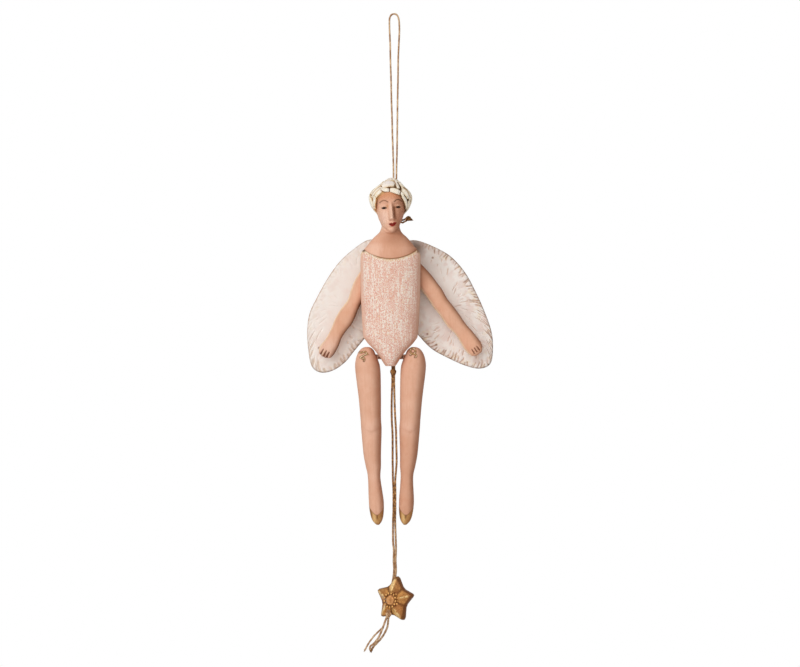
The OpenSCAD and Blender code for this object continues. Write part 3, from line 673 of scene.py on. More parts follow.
def make_leotard():
    around, lid, body, foot = 160, 5, 110, 4
    front, side_share = 118, 0.15

    def section(turn, z):
        """Across and depth of the leotard on one of its heights."""
        _, half, deep = read(torso_table, z)
        k = turn * around
        if k <= front:
            a = math.pi * k / front
            return -half * math.cos(a), front_y - torso_side - (deep - torso_side) * math.sin(a)
        f = (k - front) / (around - front)
        if f < side_share:
            return half, front_y - torso_side * (1 - f / side_share)
        if f < 1 - side_share:
            return half - 2 * half * (f - side_share) / (1 - 2 * side_share), front_y
        return -half, front_y - torso_side * (f - 1 + side_share) / side_share

    def point(turn, level):
        if level < lid:
            x, y = section(turn, torso_top - 0.02)
            share = (level + 1) / (lid + 1)
            x, y = x * share, -3 + (y + 3) * share
            return Vector((figure_x + x, y, neckline(figure_x + x)))
        t = (level - lid) / (body - 1)
        if t > 1:
            share = 1 - (level - lid - body + 1) / (foot + 1)
            x, y = section(turn, torso_low)
            return Vector((figure_x + x * share, -1.5 + (y + 1.5) * share, torso_low))
        z = torso_top + (torso_low - torso_top) * t
        x, _ = section(turn, z)
        drop = torso_top - neckline(figure_x + x)
        z -= drop * ease(torso_top - 16, torso_top, z)
        x, y = section(turn, z)
        return Vector((figure_x + x, y, z))

    def paint(p, n):
        rim = p.z - neckline(p.x)
        off = abs(p.x - figure_x)
        c = mixed(tone(238, 190, 172), tone(244, 208, 192), speckle(p, 3))
        half = read(torso_table, p.z)[1]
        band = ease(half - 2.4, half - 0.6, off)
        c = dab(c, (238, 190, 166), 0.8 * band)
        # Painted highlight: a cream band along the raised top edge of the leotard, just under the trim.
        edge = ease(-1.9, -0.8, rim) * ease(0.3, 0.6, speckle(p, 1.3, 7) + 0.15)
        c = dab(c, (253, 228, 184), edge * 0.9)
        line = ease(-0.7, -0.3, rim) * (0.35 + 0.65 * ease(-12, -7, p.x))
        c = dab(c, (164, 110, 58), line * 0.85)
        corner = corner_dot(p)
        c = dab(c, (84, 48, 28), corner)
        # Painted highlight: a pale line along the right edge of the leotard.
        if p.x > figure_x:
            c = dab(c, (252, 230, 208), 0.6 * bump(off, half - 0.5, 0.45))
        # Painted shade: darker on faces turned to the right, and towards the lower right of the leotard.
        turned = 0.45 * ease(0.25, 0.9, n.x) + 0.2 * ease(3, 12, p.x - figure_x) * ease(-144, -156, p.z)
        c = dab(c, (190, 132, 108), turned)
        # Painted shade on the side faces of the leotard's point, stronger on the right; the stipple is
        # thinned there too.
        wear_and_shade = ease(-161.5, -163, p.z) * ease(0.3, 0.9, abs(n.x))
        c = dab(c, (196, 134, 104), wear_and_shade * (0.75 if n.x > 0 else 0.35))
        return (*c, (1 - 0.8 * band) * (1 - max(line, corner)) * (1 - 0.6 * wear_and_shade) * (1 - turned))

    bm = sleeve(around, lid + body + foot, point)
    piece("leotard_front", bm, "figure", leotard, ["torso_front"], paint)


make_leotard()


# Bust, with the head, the neck and the shoulders: height over the chin, half width,
# depth to the front and to the back, and middle of the depth
bust_table = from_chin(
    [
        (23.6, 3.2, 3.6, 4.5, -0.5), (21.9, 5.5, 6.1, 6.8, -0.5), (20.3, 6.6, 7.8, 8.0, -0.5),
        (16.5, 7.4, 8.7, 8.7, -0.5), (13.7, 7.4, 8.5, 8.9, -0.5), (11.5, 7.2, 8.5, 8.8, -0.5),
        (9.9, 6.8, 8.5, 8.5, -0.5), (7.1, 6.0, 7.9, 7.1, -0.5), (4.9, 5.0, 6.6, 5.9, -0.5),
        (3.3, 4.5, 5.6, 5.1, -0.5), (1.4, 5.0, 5.1, 4.8, -0.5), (-0.2, 6.0, 4.9, 4.7, -0.7),
        (-2.1, 8.1, 4.9, 3.1, -1), (-4.6, 10.3, 5.2, 2.1, -1), (-7.0, 12.1, 5.4, 2.0, -1),
        (-8.5, 13.2, 5.6, 2.0, -1), (-14.6, 13.3, 6.2, 2.0, -1),
    ],
    10,
)
face_turn, face_roll, face_mid = math.radians(4), math.radians(4), -99.0
eye_x, eye_z = 3.5, -96.7
mouth_z = -105.0


def turn_head(p, sign):
    """Turn a point of the head with the sign 1, or back with -1; the neck stays."""
    a = sign * face_turn * min(max((p.z - chin_z) / 4 + 0.5, 0), 1)
    x, y = spun(p.x - figure_x, p.y, -a)
    return Vector((figure_x + x, y, p.z))


def on_face(x, z):
    """Across and height on the face, which leans so that its right side is higher."""
    x, up = spun(x, z - face_mid, face_roll)
    return x, face_mid + up


# Height, and how far the jaw stands out
jaw_table = [(-101.9, 0.0), (-104.1, 1.5), (-105.7, 2.1), (-107.6, 2.0), (-108.9, 1.6), (-109.8, 1.1)]
# Soft forms of the face on both sides: amount, across and its reach, height and its reach
face_forms = (
    (0.7, 1.2, 0.6, -102.2, 0.7),  # wings of the nose
    (-0.9, eye_x - 0.3, 2.1, eye_z + 0.4, 1.5),  # eye sockets
    (0.8, eye_x, 1.5, eye_z + 0.65, 0.75),  # lids
    (-0.3, eye_x, 1.3, eye_z - 0.05, 0.3),  # slits
    (0.3, eye_x, 1.5, eye_z - 0.9, 0.5),  # bags under the eyes
    (0.35, eye_x, 2.6, -93.7, 1.0),  # brows
    (0.6, 0, 2.8, mouth_z, 2.0),  # muzzle
    (0.4, 0.6, 1.3, mouth_z + 0.5, 0.42),  # upper lip
    (0.55, 0, 1.3, mouth_z - 0.65, 0.5),  # lower lip
    (-0.4, 0, 1.8, mouth_z, 0.2),  # line of the mouth
    (-0.35, 0, 1.6, mouth_z - 1.6, 0.5),  # hollow under the lip
    (0.5, 0, 1.9, -107.7, 1.0),  # chin
    (0.4, 4.2, 1.9, -100.4, 2.2),  # cheeks
)


def face_relief(x, z):
    """How far the face stands out, measured from the middle of the face."""
    side = abs(x)
    fall = ease(-94.0, -101.4, z)
    ridge = (0.4 + 2.2 * fall) * bump(x, 0, 0.75 + 0.42 * fall)
    ridge *= window(z, -103.4, -102.0, -95.5, -92.5)
    jaw = read(jaw_table, z)[1] * ease(-0.7, 0.5, z + 108.9 - 0.35 * side ** 1.5) * ease(5.2, 3.4, side)
    soft = (k * spot(side, at, wide, z, up, tall) for k, at, wide, up, tall in face_forms)
    return ridge + jaw + sum(soft)


def close_to(x, z, points):
    """Distance from a point to a drawn line."""
    best = 99
    for (ax, az), (bx, bz) in zip(points, points[1:]):
        ux, uz = bx - ax, bz - az
        f = min(max(((x - ax) * ux + (z - az) * uz) / (ux * ux + uz * uz), 0), 1)
        best = min(best, math.hypot(x - ax - f * ux, z - az - f * uz))
    return best


# Brow and lashes of the right eye, across and up; the left ones mirror them
brow_line = [(1.7, -93.85), (2.6, -93.2), (3.6, -92.9), (4.6, -93.25), (5.4, -93.9)]
lash_line = [(2.3, -96.85), (3.0, -96.45), (3.8, -96.4), (4.7, -96.75)]


def painted_face(c, p, x, z):
    """The face's painted features laid over its skin, with painted highlights and painted shade on its
    forms, by the place across and up on the face.
    """
    side = abs(x)
    # Painted highlight on the left cheek, and painted shade on the lower right of the face.
    c = dab(c, (255, 222, 202), 0.9 * spot(x, -3.8, 2.6, z, -101.0, 3.6))
    c = dab(c, (206, 146, 116), 0.2 * ease(0.8, 3.2, x) * ease(-108, -105, z))
    c = dab(c, (236, 172, 150), 0.35 * spot(side, 4.4, 1.6, z, -101.4, 2.0))
    # Painted highlight on the chin.
    c = dab(c, (252, 210, 184), 0.6 * spot(x, -1.4, 1.3, z, -107.4, 0.8))
    # Painted shade under the hair, along the hairline and at the temples.
    c = dab(c, (214, 144, 98), 0.75 * ease(-94.5, -90.0, z + 0.5 * ease(4.5, 7.5, side)))
    c = dab(c, (206, 132, 80), 0.6 * ease(5.4, 7.2, side) * ease(-100, -95, z))
    # Painted shade in the eye sockets by the nose and down both sides of the nose, and a painted highlight
    # on the ridge of the nose.
    c = dab(c, (204, 142, 106), 0.55 * spot(side, 2.0, 0.9, z, -96.2, 1.3))
    c = dab(c, (128, 74, 46), 0.9 * bump(x, 1.35, 0.65) * window(z, -103, -101, -97.5, -96))
    c = dab(c, (212, 156, 128), 0.5 * bump(x, -1.5, 0.42) * window(z, -103.2, -101.8, -100, -97.5))
    c = dab(c, (252, 216, 194), 0.75 * bump(x, -0.45, 0.62) * window(z, -103, -101.5, -96.5, -94))
    c = dab(c, (112, 72, 44), 0.8 * spot(x, 1.35, 0.55, z, -96.8, 0.75))
    c = dab(c, (190, 132, 62), 0.8 * spot(x, -2.0, 0.5, z, -95.9, 0.5))
    # Painted highlight on the upper lids.
    c = dab(c, (246, 206, 182), 0.6 * spot(side, eye_x, 1.2, z, eye_z + 0.8, 0.5))
    brow = ease(0.5, 0.1, close_to(side, z, brow_line) + 0.12 * (speckle(p, 0.7, 3) - 0.5))
    c = dab(c, (112, 76, 54), (0.75 if x < 0 else 0.95) * brow)
    eye = math.hypot((side - eye_x) / 1.05, (z - eye_z) / 0.55)
    c = dab(c, (96, 66, 48), 0.6 * ease(1.5, 0.9, eye))
    c = dab(c, (14, 8, 6), ease(1.15, 0.85, eye))
    c = dab(c, (70, 46, 32), 0.75 * ease(0.3, 0.08, close_to(side, z, lash_line)))
    lip_top = mouth_z + 0.85 - 0.35 * bump(x, 0, 0.4) - 0.3 * (side / 2.0) ** 2 + 0.15 * x
    lip_low = mouth_z - 1.2 + 1.5 * (side / 2.0) ** 2
    lip = min(lip_top - z, z - lip_low, (2.1 - side) * 0.6)
    # Painted highlight above the upper lip.
    c = dab(c, (250, 206, 184), 0.5 * spot(x, -0.2, 0.7, z, mouth_z + 1.4, 0.5))
    c = dab(c, (152, 32, 26), ease(-0.12, 0.18, lip))
    c = dab(c, (84, 18, 16), 0.85 * bump(z, mouth_z, 0.17) * ease(2.0, 1.5, side))
    # Painted shade under the nose, at the nostrils.
    c = dab(c, (170, 104, 74), 0.75 * spot(side, 1.05, 0.45, z, -103.05, 0.32))
    return c


def make_bust():
    around, levels = 168, 190
    high, low = -86.5, -123.4

    def point(turn, level):
        z = high + (low - high) * level / (levels - 1)
        _, half, front, back, mid = read(bust_table, z)
        a = tau * turn
        x, s = half * math.cos(a), math.sin(a)
        y = mid + s * (back if s > 0 else front)
        if s < 0:
            y -= face_relief(*on_face(x, z)) * ease(0, 0.35, -s) * ease(-1.0, -0.2, z - chin_z)
        p = turn_head(Vector((figure_x + x, y, z)), 1)
        p.z = max(p.z, neckline(p.x) + 0.05)
        return p

    def paint(p, n):
        q = turn_head(p, -1)
        x, z = on_face(q.x - figure_x, q.z)
        c = mixed(tone(238, 190, 164), tone(230, 176, 148), speckle(p, 5) * 0.6)
        # Painted light: a faint highlight on left edges, painted shade on right-facing ones, and more
        # painted shade where the chest and face turn right.
        c = painted_side_light(c, n, pale=0.15)
        c = dab(c, (184, 124, 92), 0.3 * ease(-0.1, 0.6, n.x) * front_share(n))
        if q.z > chin_z - 0.6 and q.y < 0:
            c = painted_face(c, p, x, z)
        # Painted shade under the jaw and the chin.
        if q.y < 0:
            fold = z + 109.5 - 0.09 * x * x
            c = dab(c, (150, 92, 64), 0.7 * bump(fold, -0.1, 0.42) * bump(x, -0.8, 2.9))
        # Painted highlight on the left of the chest, and painted shade on the neck under the chin.
        c = dab(c, (252, 212, 190), 0.5 * ease(-4.5, -9, p.x) * ease(-113, -116, p.z))
        c = dab(c, (212, 150, 116), 0.35 * bump(p.x, 0, 5) * ease(-111, -114, p.z))
        under = window(p.z, -118, -111, -109.6, -108.4) * bump(p.x, figure_x + 1.2, 5.5)
        c = dab(c, (182, 122, 90), 0.7 * under)
        rim = p.z - neckline(p.x)
        c = dab(c, (140, 90, 48), (0.3 + 0.5 * ease(-12, -7, p.x)) * ease(0.5, 0.15, rim))
        return dab(c, (84, 48, 28), corner_dot(p))

    bm = sleeve(around, levels, point)
    piece("bust_head_and_shoulders", bm, "figure", flesh, ["bust"], paint)


make_bust()


# Hair: height over the chin, half width, depth to the front and to the back, and shift across
hair_table = from_chin(
    [
        (27.5, 1.25, 1.4, 1.4, 0.6), (26.5, 3.1, 3.4, 3.4, 0.6), (25.3, 4.7, 5.0, 5.0, 0.4),
        (23.9, 5.9, 6.2, 6.2, 0.2), (22.5, 7.5, 7.6, 7.6, 0), (21.0, 9.0, 8.8, 8.8, 0),
        (19.5, 10.0, 9.7, 9.7, 0), (17.6, 10.4, 10.0, 10.0, 0), (15.5, 10.2, 9.7, 10.0, 0),
        (13.5, 9.6, 9.4, 9.8, 0), (12.0, 8.7, 9.0, 9.6, 0), (10.5, 7.4, 8.4, 9.2, 0),
        (8.0, 6.0, 7.4, 8.4, 0), (5.0, 4.6, 6.0, 6.8, 0),
    ],
    8,
)
hair_y = 0.2
crown_z = chin_z + 27.5
nape_z = chin_z + 5.0
base_lift = -0.95


def hair_point(angle, z, lift=0.0):
    """A point on the hair, by its bearing round the head and its height."""
    _, half, front, back, lean = read(hair_table, z)
    c, s = math.cos(angle), math.sin(angle)
    reach = back if s > 0 else front
    p = Vector((figure_x + lean + c * half, hair_y + s * reach, z))
    out = Vector((c / half, s / reach, 0)).normalized()
    rise = 0.8 * ease(crown_z - 8, crown_z - 0.5, z)
    return p + (out * (1 - rise) + Vector((0, 0, rise))).normalized() * lift


def hairline(y):
    """Height of the hair's lower edge, which falls from the brow to the nape."""
    return -89.5 - 1.0355 * (y + 8.7)


def front_bearing(x, z):
    """Bearing of the point on the front of the hair at some x and height."""
    _, half, _, _, lean = read(hair_table, z)
    return -math.acos(min(max((x - figure_x - lean) / half, -0.999), 0.999))


# How far each vertex of a lock lies up on it, for its paint
crests = {}


def mark_of(p):
    return round(p.x, 3), round(p.y, 3), round(p.z, 3)


def lock(points, width, height, strands=3, twist=0.0):
    """A lock of hair laid over the head; points are bearing, height and lift."""
    steps = 26
    rows = fine_rows(points, 12)
    line, outs = [], []
    for k in range(steps + 1):
        angle, z, lift = rows[round(k / steps * (len(rows) - 1))]
        line.append(hair_point(angle, z, lift))
        outs.append((hair_point(angle, z, lift + 1) - line[-1]).normalized())
    last = steps

    def point(turn, level):
        ahead = (line[min(level + 1, last)] - line[max(level - 1, 0)]).normalized()
        side = ahead.cross(outs[level]).normalized()
        t = level / last
        full = math.sin(math.pi * min(max(0.1 + 0.8 * t, 0), 1)) ** 0.5
        a = tau * turn
        cut = abs(math.sin(strands * a + twist * t)) ** 3
        across = math.cos(a) * width * full * (1 - 0.1 * cut)
        up = math.sin(a) * height * full * (1 - 0.1 * cut)
        p = line[level] + side * across + outs[level] * up
        crests[mark_of(p)] = math.sin(a) * ease(0.5, 0.75, full)
        return p

    return sleeve(40, last + 1, point)


# Locks on the front: points across and up, half width, height and strands
front_locks = [
    ([(-6.0, -86.1), (-4.3, -85.1), (-2.2, -84.6), (0.3, -85.2)], 2.95, 1.5, 1),
    ([(-6.0, -87.4), (-4.2, -88.0), (-2.2, -88.1)], 1.15, 0.95, 1),
    ([(-2.1, -87.9), (0.4, -88.5), (3.4, -89.6)], 1.5, 1.1, 1),
    ([(0.2, -82.2), (1.5, -84.4), (2.4, -87.3)], 1.2, 1.0, 1),
    ([(1.9, -82.9), (3.9, -85.6), (4.2, -87.7)], 1.2, 0.95, 2),
    ([(3.8, -87.4), (6.1, -89.2), (7.4, -92.0)], 1.75, 1.0, 2),
    ([(5.6, -86.4), (7.7, -89.4), (8.0, -93.2)], 1.3, 0.9, 2),
    ([(7.7, -92.8), (7.2, -96.0), (6.0, -98.6)], 1.2, 0.9, 2),
    ([(4.2, -90.8), (5.5, -92.5), (6.4, -94.8), (6.2, -97.2)], 1.05, 0.9, 1),
    ([(-5.8, -84.1), (-9.0, -86.7), (-11.5, -90.1)], 1.25, 0.9, 1),
    ([(-6.4, -86.2), (-8.9, -88.5), (-11.2, -91.5)], 1.15, 0.95, 1),
    ([(-5.3, -86.7), (-7.7, -88.9), (-10.4, -92.4)], 1.4, 1.05, 1),
    ([(-11.6, -91.5), (-11.3, -94.6), (-9.9, -97.8)], 1.05, 0.9, 2),
    ([(-9.6, -91.3), (-10.0, -94.0), (-9.6, -97.2)], 1.0, 0.95, 1),
    ([(-11.1, -93.0), (-10.7, -95.8), (-9.5, -98.5)], 0.8, 0.95, 1),
    ([(3.2, -89.0), (4.3, -90.2), (5.0, -92.0)], 0.8, 0.85, 1),
]

# Painted shade in the hollows between the locks and under the bangs, and painted strands: colour, share and
# line
hair_lines = [
    (tone(88, 52, 26), 0.9, [(-2.2, -86.9), (-2.3, -88.0), (-2.1, -89.2)]),
    (tone(150, 100, 54), 0.75, [(-3.4, -86.7), (-1.6, -86.8), (0.8, -86.2), (0.9, -84.9), (0.1, -83.3)]),
    (tone(104, 64, 32), 0.85, [(1.7, -84.0), (2.8, -85.8), (3.7, -87.5), (3.4, -88.8), (2.9, -89.8)]),
    (
        tone(146, 90, 46), 0.8,
        [(-6.5, -88.0), (-5.4, -88.9), (-4.0, -89.2), (-2.2, -89.2), (0, -89.8), (2.6, -90.9)],
    ),
    (tone(214, 168, 106), 0.55, [(-5.9, -85.0), (-8.6, -87.1), (-11.2, -90.1)]),
    (tone(214, 168, 106), 0.55, [(-6.6, -87.0), (-9.0, -89.3), (-11.4, -92.3)]),
    (tone(196, 142, 78), 0.6, [(4.4, -86.5), (6.8, -88.6), (8.1, -91.5)]),
]


def make_hair():
    around, levels, under = 120, 60, 4
    rims = []
    for k in range(around):
        angle = tau * k / around
        high, low = crown_z, nape_z
        for _ in range(24):
            z = (high + low) / 2
            if z > hairline(hair_point(angle, z).y):
                high = z
            else:
                low = z
        rims.append(low)

    def point(turn, level):
        angle = tau * turn
        rim = rims[round(turn * around) % around]
        if level >= levels:
            share = 1 - (level - levels + 1) / (under + 1)
            edge = hair_point(angle, rim, base_lift)
            middle = Vector((figure_x, 0, hairline(0) + 0.2))
            return middle + (edge - middle) * share
        t = level / (levels - 1)
        z = crown_z + (rim - crown_z) * t ** 1.15
        wave = 0.1 * math.sin(7 * angle + 0.9 * z)
        return hair_point(angle, z, base_lift * ease(crown_z - 0.6, crown_z - 3.5, z) + wave)

    parts = []
    for rows, width, height, strands in front_locks:
        laid = [(front_bearing(x, z), z, -0.5) for x, z in rows]
        parts.append(lock(laid, width, height, strands))
    back_locks = 15
    for k in range(back_locks):
        start = math.radians(-2 + 184 * k / (back_locks - 1))
        lean = 0.14 * math.sin(2.3 * k)
        low = max(hairline(hair_point(start, -98).y) + 1.2, nape_z + 0.6)
        rows = [
            (start + lean, crown_z - 1.6 - 0.5 * (k % 2), -0.5),
            (start - lean, crown_z - 8, -0.45),
            (start + lean * 1.3, (crown_z - 8 + low) / 2, -0.45),
            (start - lean * 0.6, low, -0.5),
        ]
        parts.append(lock(rows, 1.8, 0.95, 3, 2.0))

    def paint(p, n):
        rise = crests.get(mark_of(p), 1.8 * ease(crown_z - 2.5, crown_z - 0.8, p.z) - 1)
        rise += 0.3 * (speckle(p, 1.2) - 0.5)
        c = mixed(tone(255, 250, 241), tone(251, 238, 211), speckle(p, 2.2, 3))
        # Painted highlight on the big swirl at the top of the front.
        c = dab(c, (255, 246, 244), 0.8 * spot(p.x, -2.8, 3.4, p.z, -84.2, 2.7))
        # A golden antique wash on the sides of the locks, made stronger towards the right as painted shade.
        c = dab(c, (236, 208, 156), (0.5 + 0.2 * ease(-6, 0, p.x)) * ease(0.8, 0.35, rise))
        # Colour of the hollows between locks: an antique brown wash, dark brown towards the right as painted
        # shade, golden orange at the left rim, and pale golden at the top left as painted light.
        deep = mixed(tone(220, 176, 114), tone(96, 58, 28), 0.2 + 0.8 * ease(-6, 3, p.x))
        deep = mixed(deep, tone(206, 150, 90), ease(2.0, 0.6, p.z - hairline(p.y)) * ease(0, -6, p.x))
        deep = mixed(deep, tone(228, 200, 150), 0.85 * ease(-85.2, -83.8, p.z) * ease(0.6, -0.6, p.x))
        c = mixed(c, deep, 0.9 * ease(0.45, 0.1, rise))
        if p.y < -2:
            for shade, share, line in hair_lines:
                c = mixed(c, shade, share * ease(0.42, 0.14, close_to(p.x, p.z, line)))
        return c

    base = sleeve(around, levels + under, point)
    piece("hair_locks", joined([base] + parts), "figure", hair_cream, ["hair"], paint)


make_hair()


# Wings: outlines from the middle of the wings and the top of the torso
wing_edges = {
    "left": [
        (0, 1.5), (-9.25, 4.4), (-15.25, 5.6), (-23.25, 0.5), (-30.25, -6), (-36.25, -14.5),
        (-41.25, -23.5), (-44.95, -31.5), (-46.15, -40.5), (-45.55, -50.5), (-43.75, -58.5), (-39.25, -61.5),
        (-33.25, -60.5), (-27.25, -56.5), (-22.25, -50.5), (-17.25, -44.5), (-10.25, -36.5), (0, -30.5),
    ],
    "right": [
        (0, 1.5), (3.75, 4.7), (9.25, 5.3), (17.95, 2.1), (26.55, -2.9), (33.75, -11),
        (38.95, -20.5), (43.25, -30), (46.95, -40.5), (47.75, -49.5), (46.45, -57), (41.15, -59.5),
        (33.75, -58), (24.75, -54), (16.75, -49.5), (10.75, -43.5), (5.75, -37.5), (0, -30.5),
    ],
}
wing_seam = 0.25


def make_wing(side):
    sign = -inward[side]
    rows = [(sign * max(abs(x), wing_seam), z) for x, z in wing_edges[side]]
    corner = [Vector((wing_mid + x, 0, torso_top + z)) for x, z in fine_rows(rows, 8)]
    edge_step = 0.36
    ring = even_line([tuple(p) for p in corner + corner[:1]], edge_step, smooth=False)[:-1]
    around = len(ring)
    middle = Vector((wing_mid + sign * 27, 0, torso_top - 29))
    arc = [0.0]
    for a, b in zip(ring, ring[1:]):
        arc.append(arc[-1] + (b - a).length)
    front_rings, back_rings = 66, 14
    thick = (wing_back - wing_front) / 2
    stroke_rows = ((2.5, 0), (3.7, 1)) if side == "left" else ((1.9, 0), (2.6, 1), (3.4, 2))
    stroke_half = 0.72 if side == "left" else 0.46
    marks = {}

    def boldness(edge):
        """How strongly the strokes are cut along this part of the edge."""
        shown = ease(8, 14, abs(edge.x - wing_mid))
        if side == "left":
            return shown * (0.4 + 0.6 * ease(-152, -170, edge.z))
        return shown * (0.9 + 0.3 * noise.noise(Vector((edge.x / 7, edge.z / 7, 1))))

    def strokes(u, d):
        """Depth of the feather strokes, by place along the edge and distance from it."""
        deep, slant = 0.0, u + 0.6 * d
        for pitch, row in stroke_rows:
            near = round(slant / pitch)
            for i in (near - 1, near, near + 1):
                draw = [chance(i + 0.37, sign * 1.7, k + 9 * row) for k in (1, 2, 3, 4)]
                at = (i + 0.5 * (draw[0] - 0.5)) * pitch + 0.4 * math.sin(0.8 * d + 6 * draw[3])
                begin = row * (4 + 4 * draw[3])
                end = begin + 2.6 + 4.4 * draw[1]
                along = ease(begin - 0.6, begin + 0.6, d) if row else ease(0, 0.5, d)
                along *= ease(end, 0.5 * (begin + end), d)
                depth = (0.5 + 0.5 * draw[2]) * (0.7 * ease(0.2, 0.6, draw[2]) if row else 1)
                deep = max(deep, depth * along * bump(slant, at, stroke_half))
        return deep

    def point(turn, level):
        k = round(turn * around) % around
        edge = ring[k]
        span = (edge - middle).length
        if level < front_rings:
            s = ((level + 1) / front_rings) ** 0.7
        else:
            s = 1 - (level - front_rings + 1) / (back_rings + 1)
        d = span * (1 - s)
        p = middle + (edge - middle) * s
        nose = thick - math.sqrt(max(thick ** 2 - max(thick - d, 0) ** 2, 0))
        deep = 0.0
        if level < front_rings:
            deep = strokes(arc[k], d) * boldness(edge)
            ripple = 0.14 * noise.noise(Vector((p.x / 3, p.z / 3, sign)))
            p.y = wing_front + min(max(nose + 0.8 * deep + ripple, 0), thick + 0.4)
        else:
            p.y = wing_back - nose
        marks[mark_of(p)] = (deep, d)
        return p

    spots = {"left": [(-38, -166.5)], "right": [(19.5, -121), (16.8, -159.5), (21.4, -165)]}[side]
    shoulder = Vector((11, 0, -116))

    def paint(p, n):
        deep, d = marks.get(mark_of(p), (0.0, 20.0))
        wear_and_shade = 0.3 if side == "left" else 0.8
        c = mixed(tone(251, 246, 241), tone(248, 238, 231), speckle(p, 6, 2))
        patch = ease(0.4, 0.75, speckle(p, 3.5, 5)) * ease(17, 5, d)
        c = dab(c, (232, 204, 194), 0.7 * wear_and_shade * patch)
        c = dab(c, (242, 222, 184), 0.6 * wear_and_shade * ease(0.55, 0.75, speckle(p, 2.5, 11)) * ease(9, 2, d))
        plain = tone(220, 190, 170)
        if side == "left":
            plain = mixed(tone(236, 220, 208), tone(226, 204, 182), ease(-158, -170, p.z))
        shade = mixed(plain, tone(158, 110, 78), wear_and_shade * ease(0.25, 0.7, speckle(p, 2.5, 8)) * ease(7, 3, d))
        c = mixed(c, shade, ease(0.12, 0.55, deep) * (0.6 + 0.3 * wear_and_shade))
        # Brown rub-off along the edges, the wing's own wear; where the edge faces down and to the right it
        # is darker, as painted shade.
        rub = ease(0.75, 0.1, d + 0.8 * (speckle(p, 1.6, 4) - 0.5))
        lower = ease(-0.5, 0.3, n.x - 0.9 * n.z)
        c = mixed(c, mixed(tone(196, 154, 122), tone(128, 82, 56), lower), rub * 0.75)
        for x, z in spots:
            c = dab(c, (150, 98, 58), 0.8 * ease(0.8, 0.25, math.hypot(p.x - x, p.z - z)))
        # Painted shadow of the bust and the arm on the right wing, around the shoulder.
        if side == "right" and n.y < 0:
            off = math.hypot(p.x - shoulder.x, p.z - shoulder.z)
            c = dab(c, (120, 90, 72), 0.7 * ease(7, 0.5, off) + 0.16 * ease(24, 10, off))
        return c

    bm = sleeve(around, front_rings + back_rings, point)
    piece(f"wing_{side}_carved", bm, "figure", wing_white, [f"wing_{side}"], paint)


for wing_side in ("left", "right"):
    make_wing(wing_side)


# Arms and legs
def lever_bar(stops, w, from_y, to_y):
    """A flat bar with round ends through a few points, in X and Z."""
    parts = []
    for (ax, az), (bx, bz) in zip(stops, stops[1:]):
        bm = bmesh.new()
        bmesh.ops.create_circle(bm, cap_ends=True, segments=32, radius=w / 2)
        away = Vector((bx - ax, bz - az, 0))
        ahead = away.normalized()
        for v in bm.verts:
            if v.co.dot(ahead) > 1e-6:
                v.co += away
        bmesh.ops.rotate(bm, verts=bm.verts, cent=(0, 0, 0), matrix=Matrix.Rotation(math.pi / 2, 3, "X"))
        bmesh.ops.translate(bm, verts=bm.verts, vec=(ax, to_y, az))
        grown = bmesh.ops.extrude_face_region(bm, geom=bm.faces[:])
        moved = [g for g in grown["geom"] if isinstance(g, bmesh.types.BMVert)]
        bmesh.ops.translate(bm, verts=moved, vec=(0, from_y - to_y, 0))
        rims = [e for e in bm.edges if abs(e.verts[0].co.y - e.verts[1].co.y) < 1e-6]
        bmesh.ops.bevel(
            bm, geom=rims, offset=0.3, offset_type="OFFSET", affect="EDGES", segments=2, profile=0.5,
            material=-1,
        )
        parts.append(outward(bm))
    return parts


def arm_table(long):
    """Down, outer, inner and thickness of an arm of some length."""
    return [
        (-3.3, 0.9, 0.9, 3.0), (-2.4, 2.3, 2.3, 5.1), (0, 3.3, 3.2, 6.0), (0.11 * long, 4.2, 3.7, 6.0),
        (0.22 * long, 4.5, 4.1, 6.0), (0.39 * long, 3.7, 3.9, 6.0), (0.5 * long, 4.0, 4.0, 6.0),
        (0.61 * long, 4.0, 4.1, 5.8), (0.7 * long, 3.5, 3.6, 5.2), (0.76 * long, 3.4, 3.4, 4.8),
        (long - 8.5, 3.8, 3.7, 5.5), (long - 4, 4.2, 4.0, 6.0), (long - 1.4, 3.3, 3.3, 5.1),
        (long, 1.8, 1.8, 2.1),
    ]


arm_long = {"left": 52.5, "right": 55.5}
arm_rest = {"left": math.radians(28.5), "right": math.radians(36.5)}
# Middles of the gaps between the fingers; their length, width and distance from the fingertips
finger_gaps = {"left": (-1.7, 0.05, 1.6), "right": (-1.6, -0.1, 1.45)}
gap_size = {"left": (4.0, 0.42, 0.6), "right": (3.0, 0.14, 1.6)}
# Hollows and swellings of the outer and the inner edge: place down the arm, reach and amount
arm_carving = {
    "left": ([(22, 5, -0.7), (44, 4, -0.4)], [(29, 5, 0.6), (44, 4, 0.4)]),
    "right": ([(19, 4, 0.6), (44, 6, 0.7)], [(23, 3, 0.4), (34, 4, 0.3), (48, 5, 0.4)]),
}


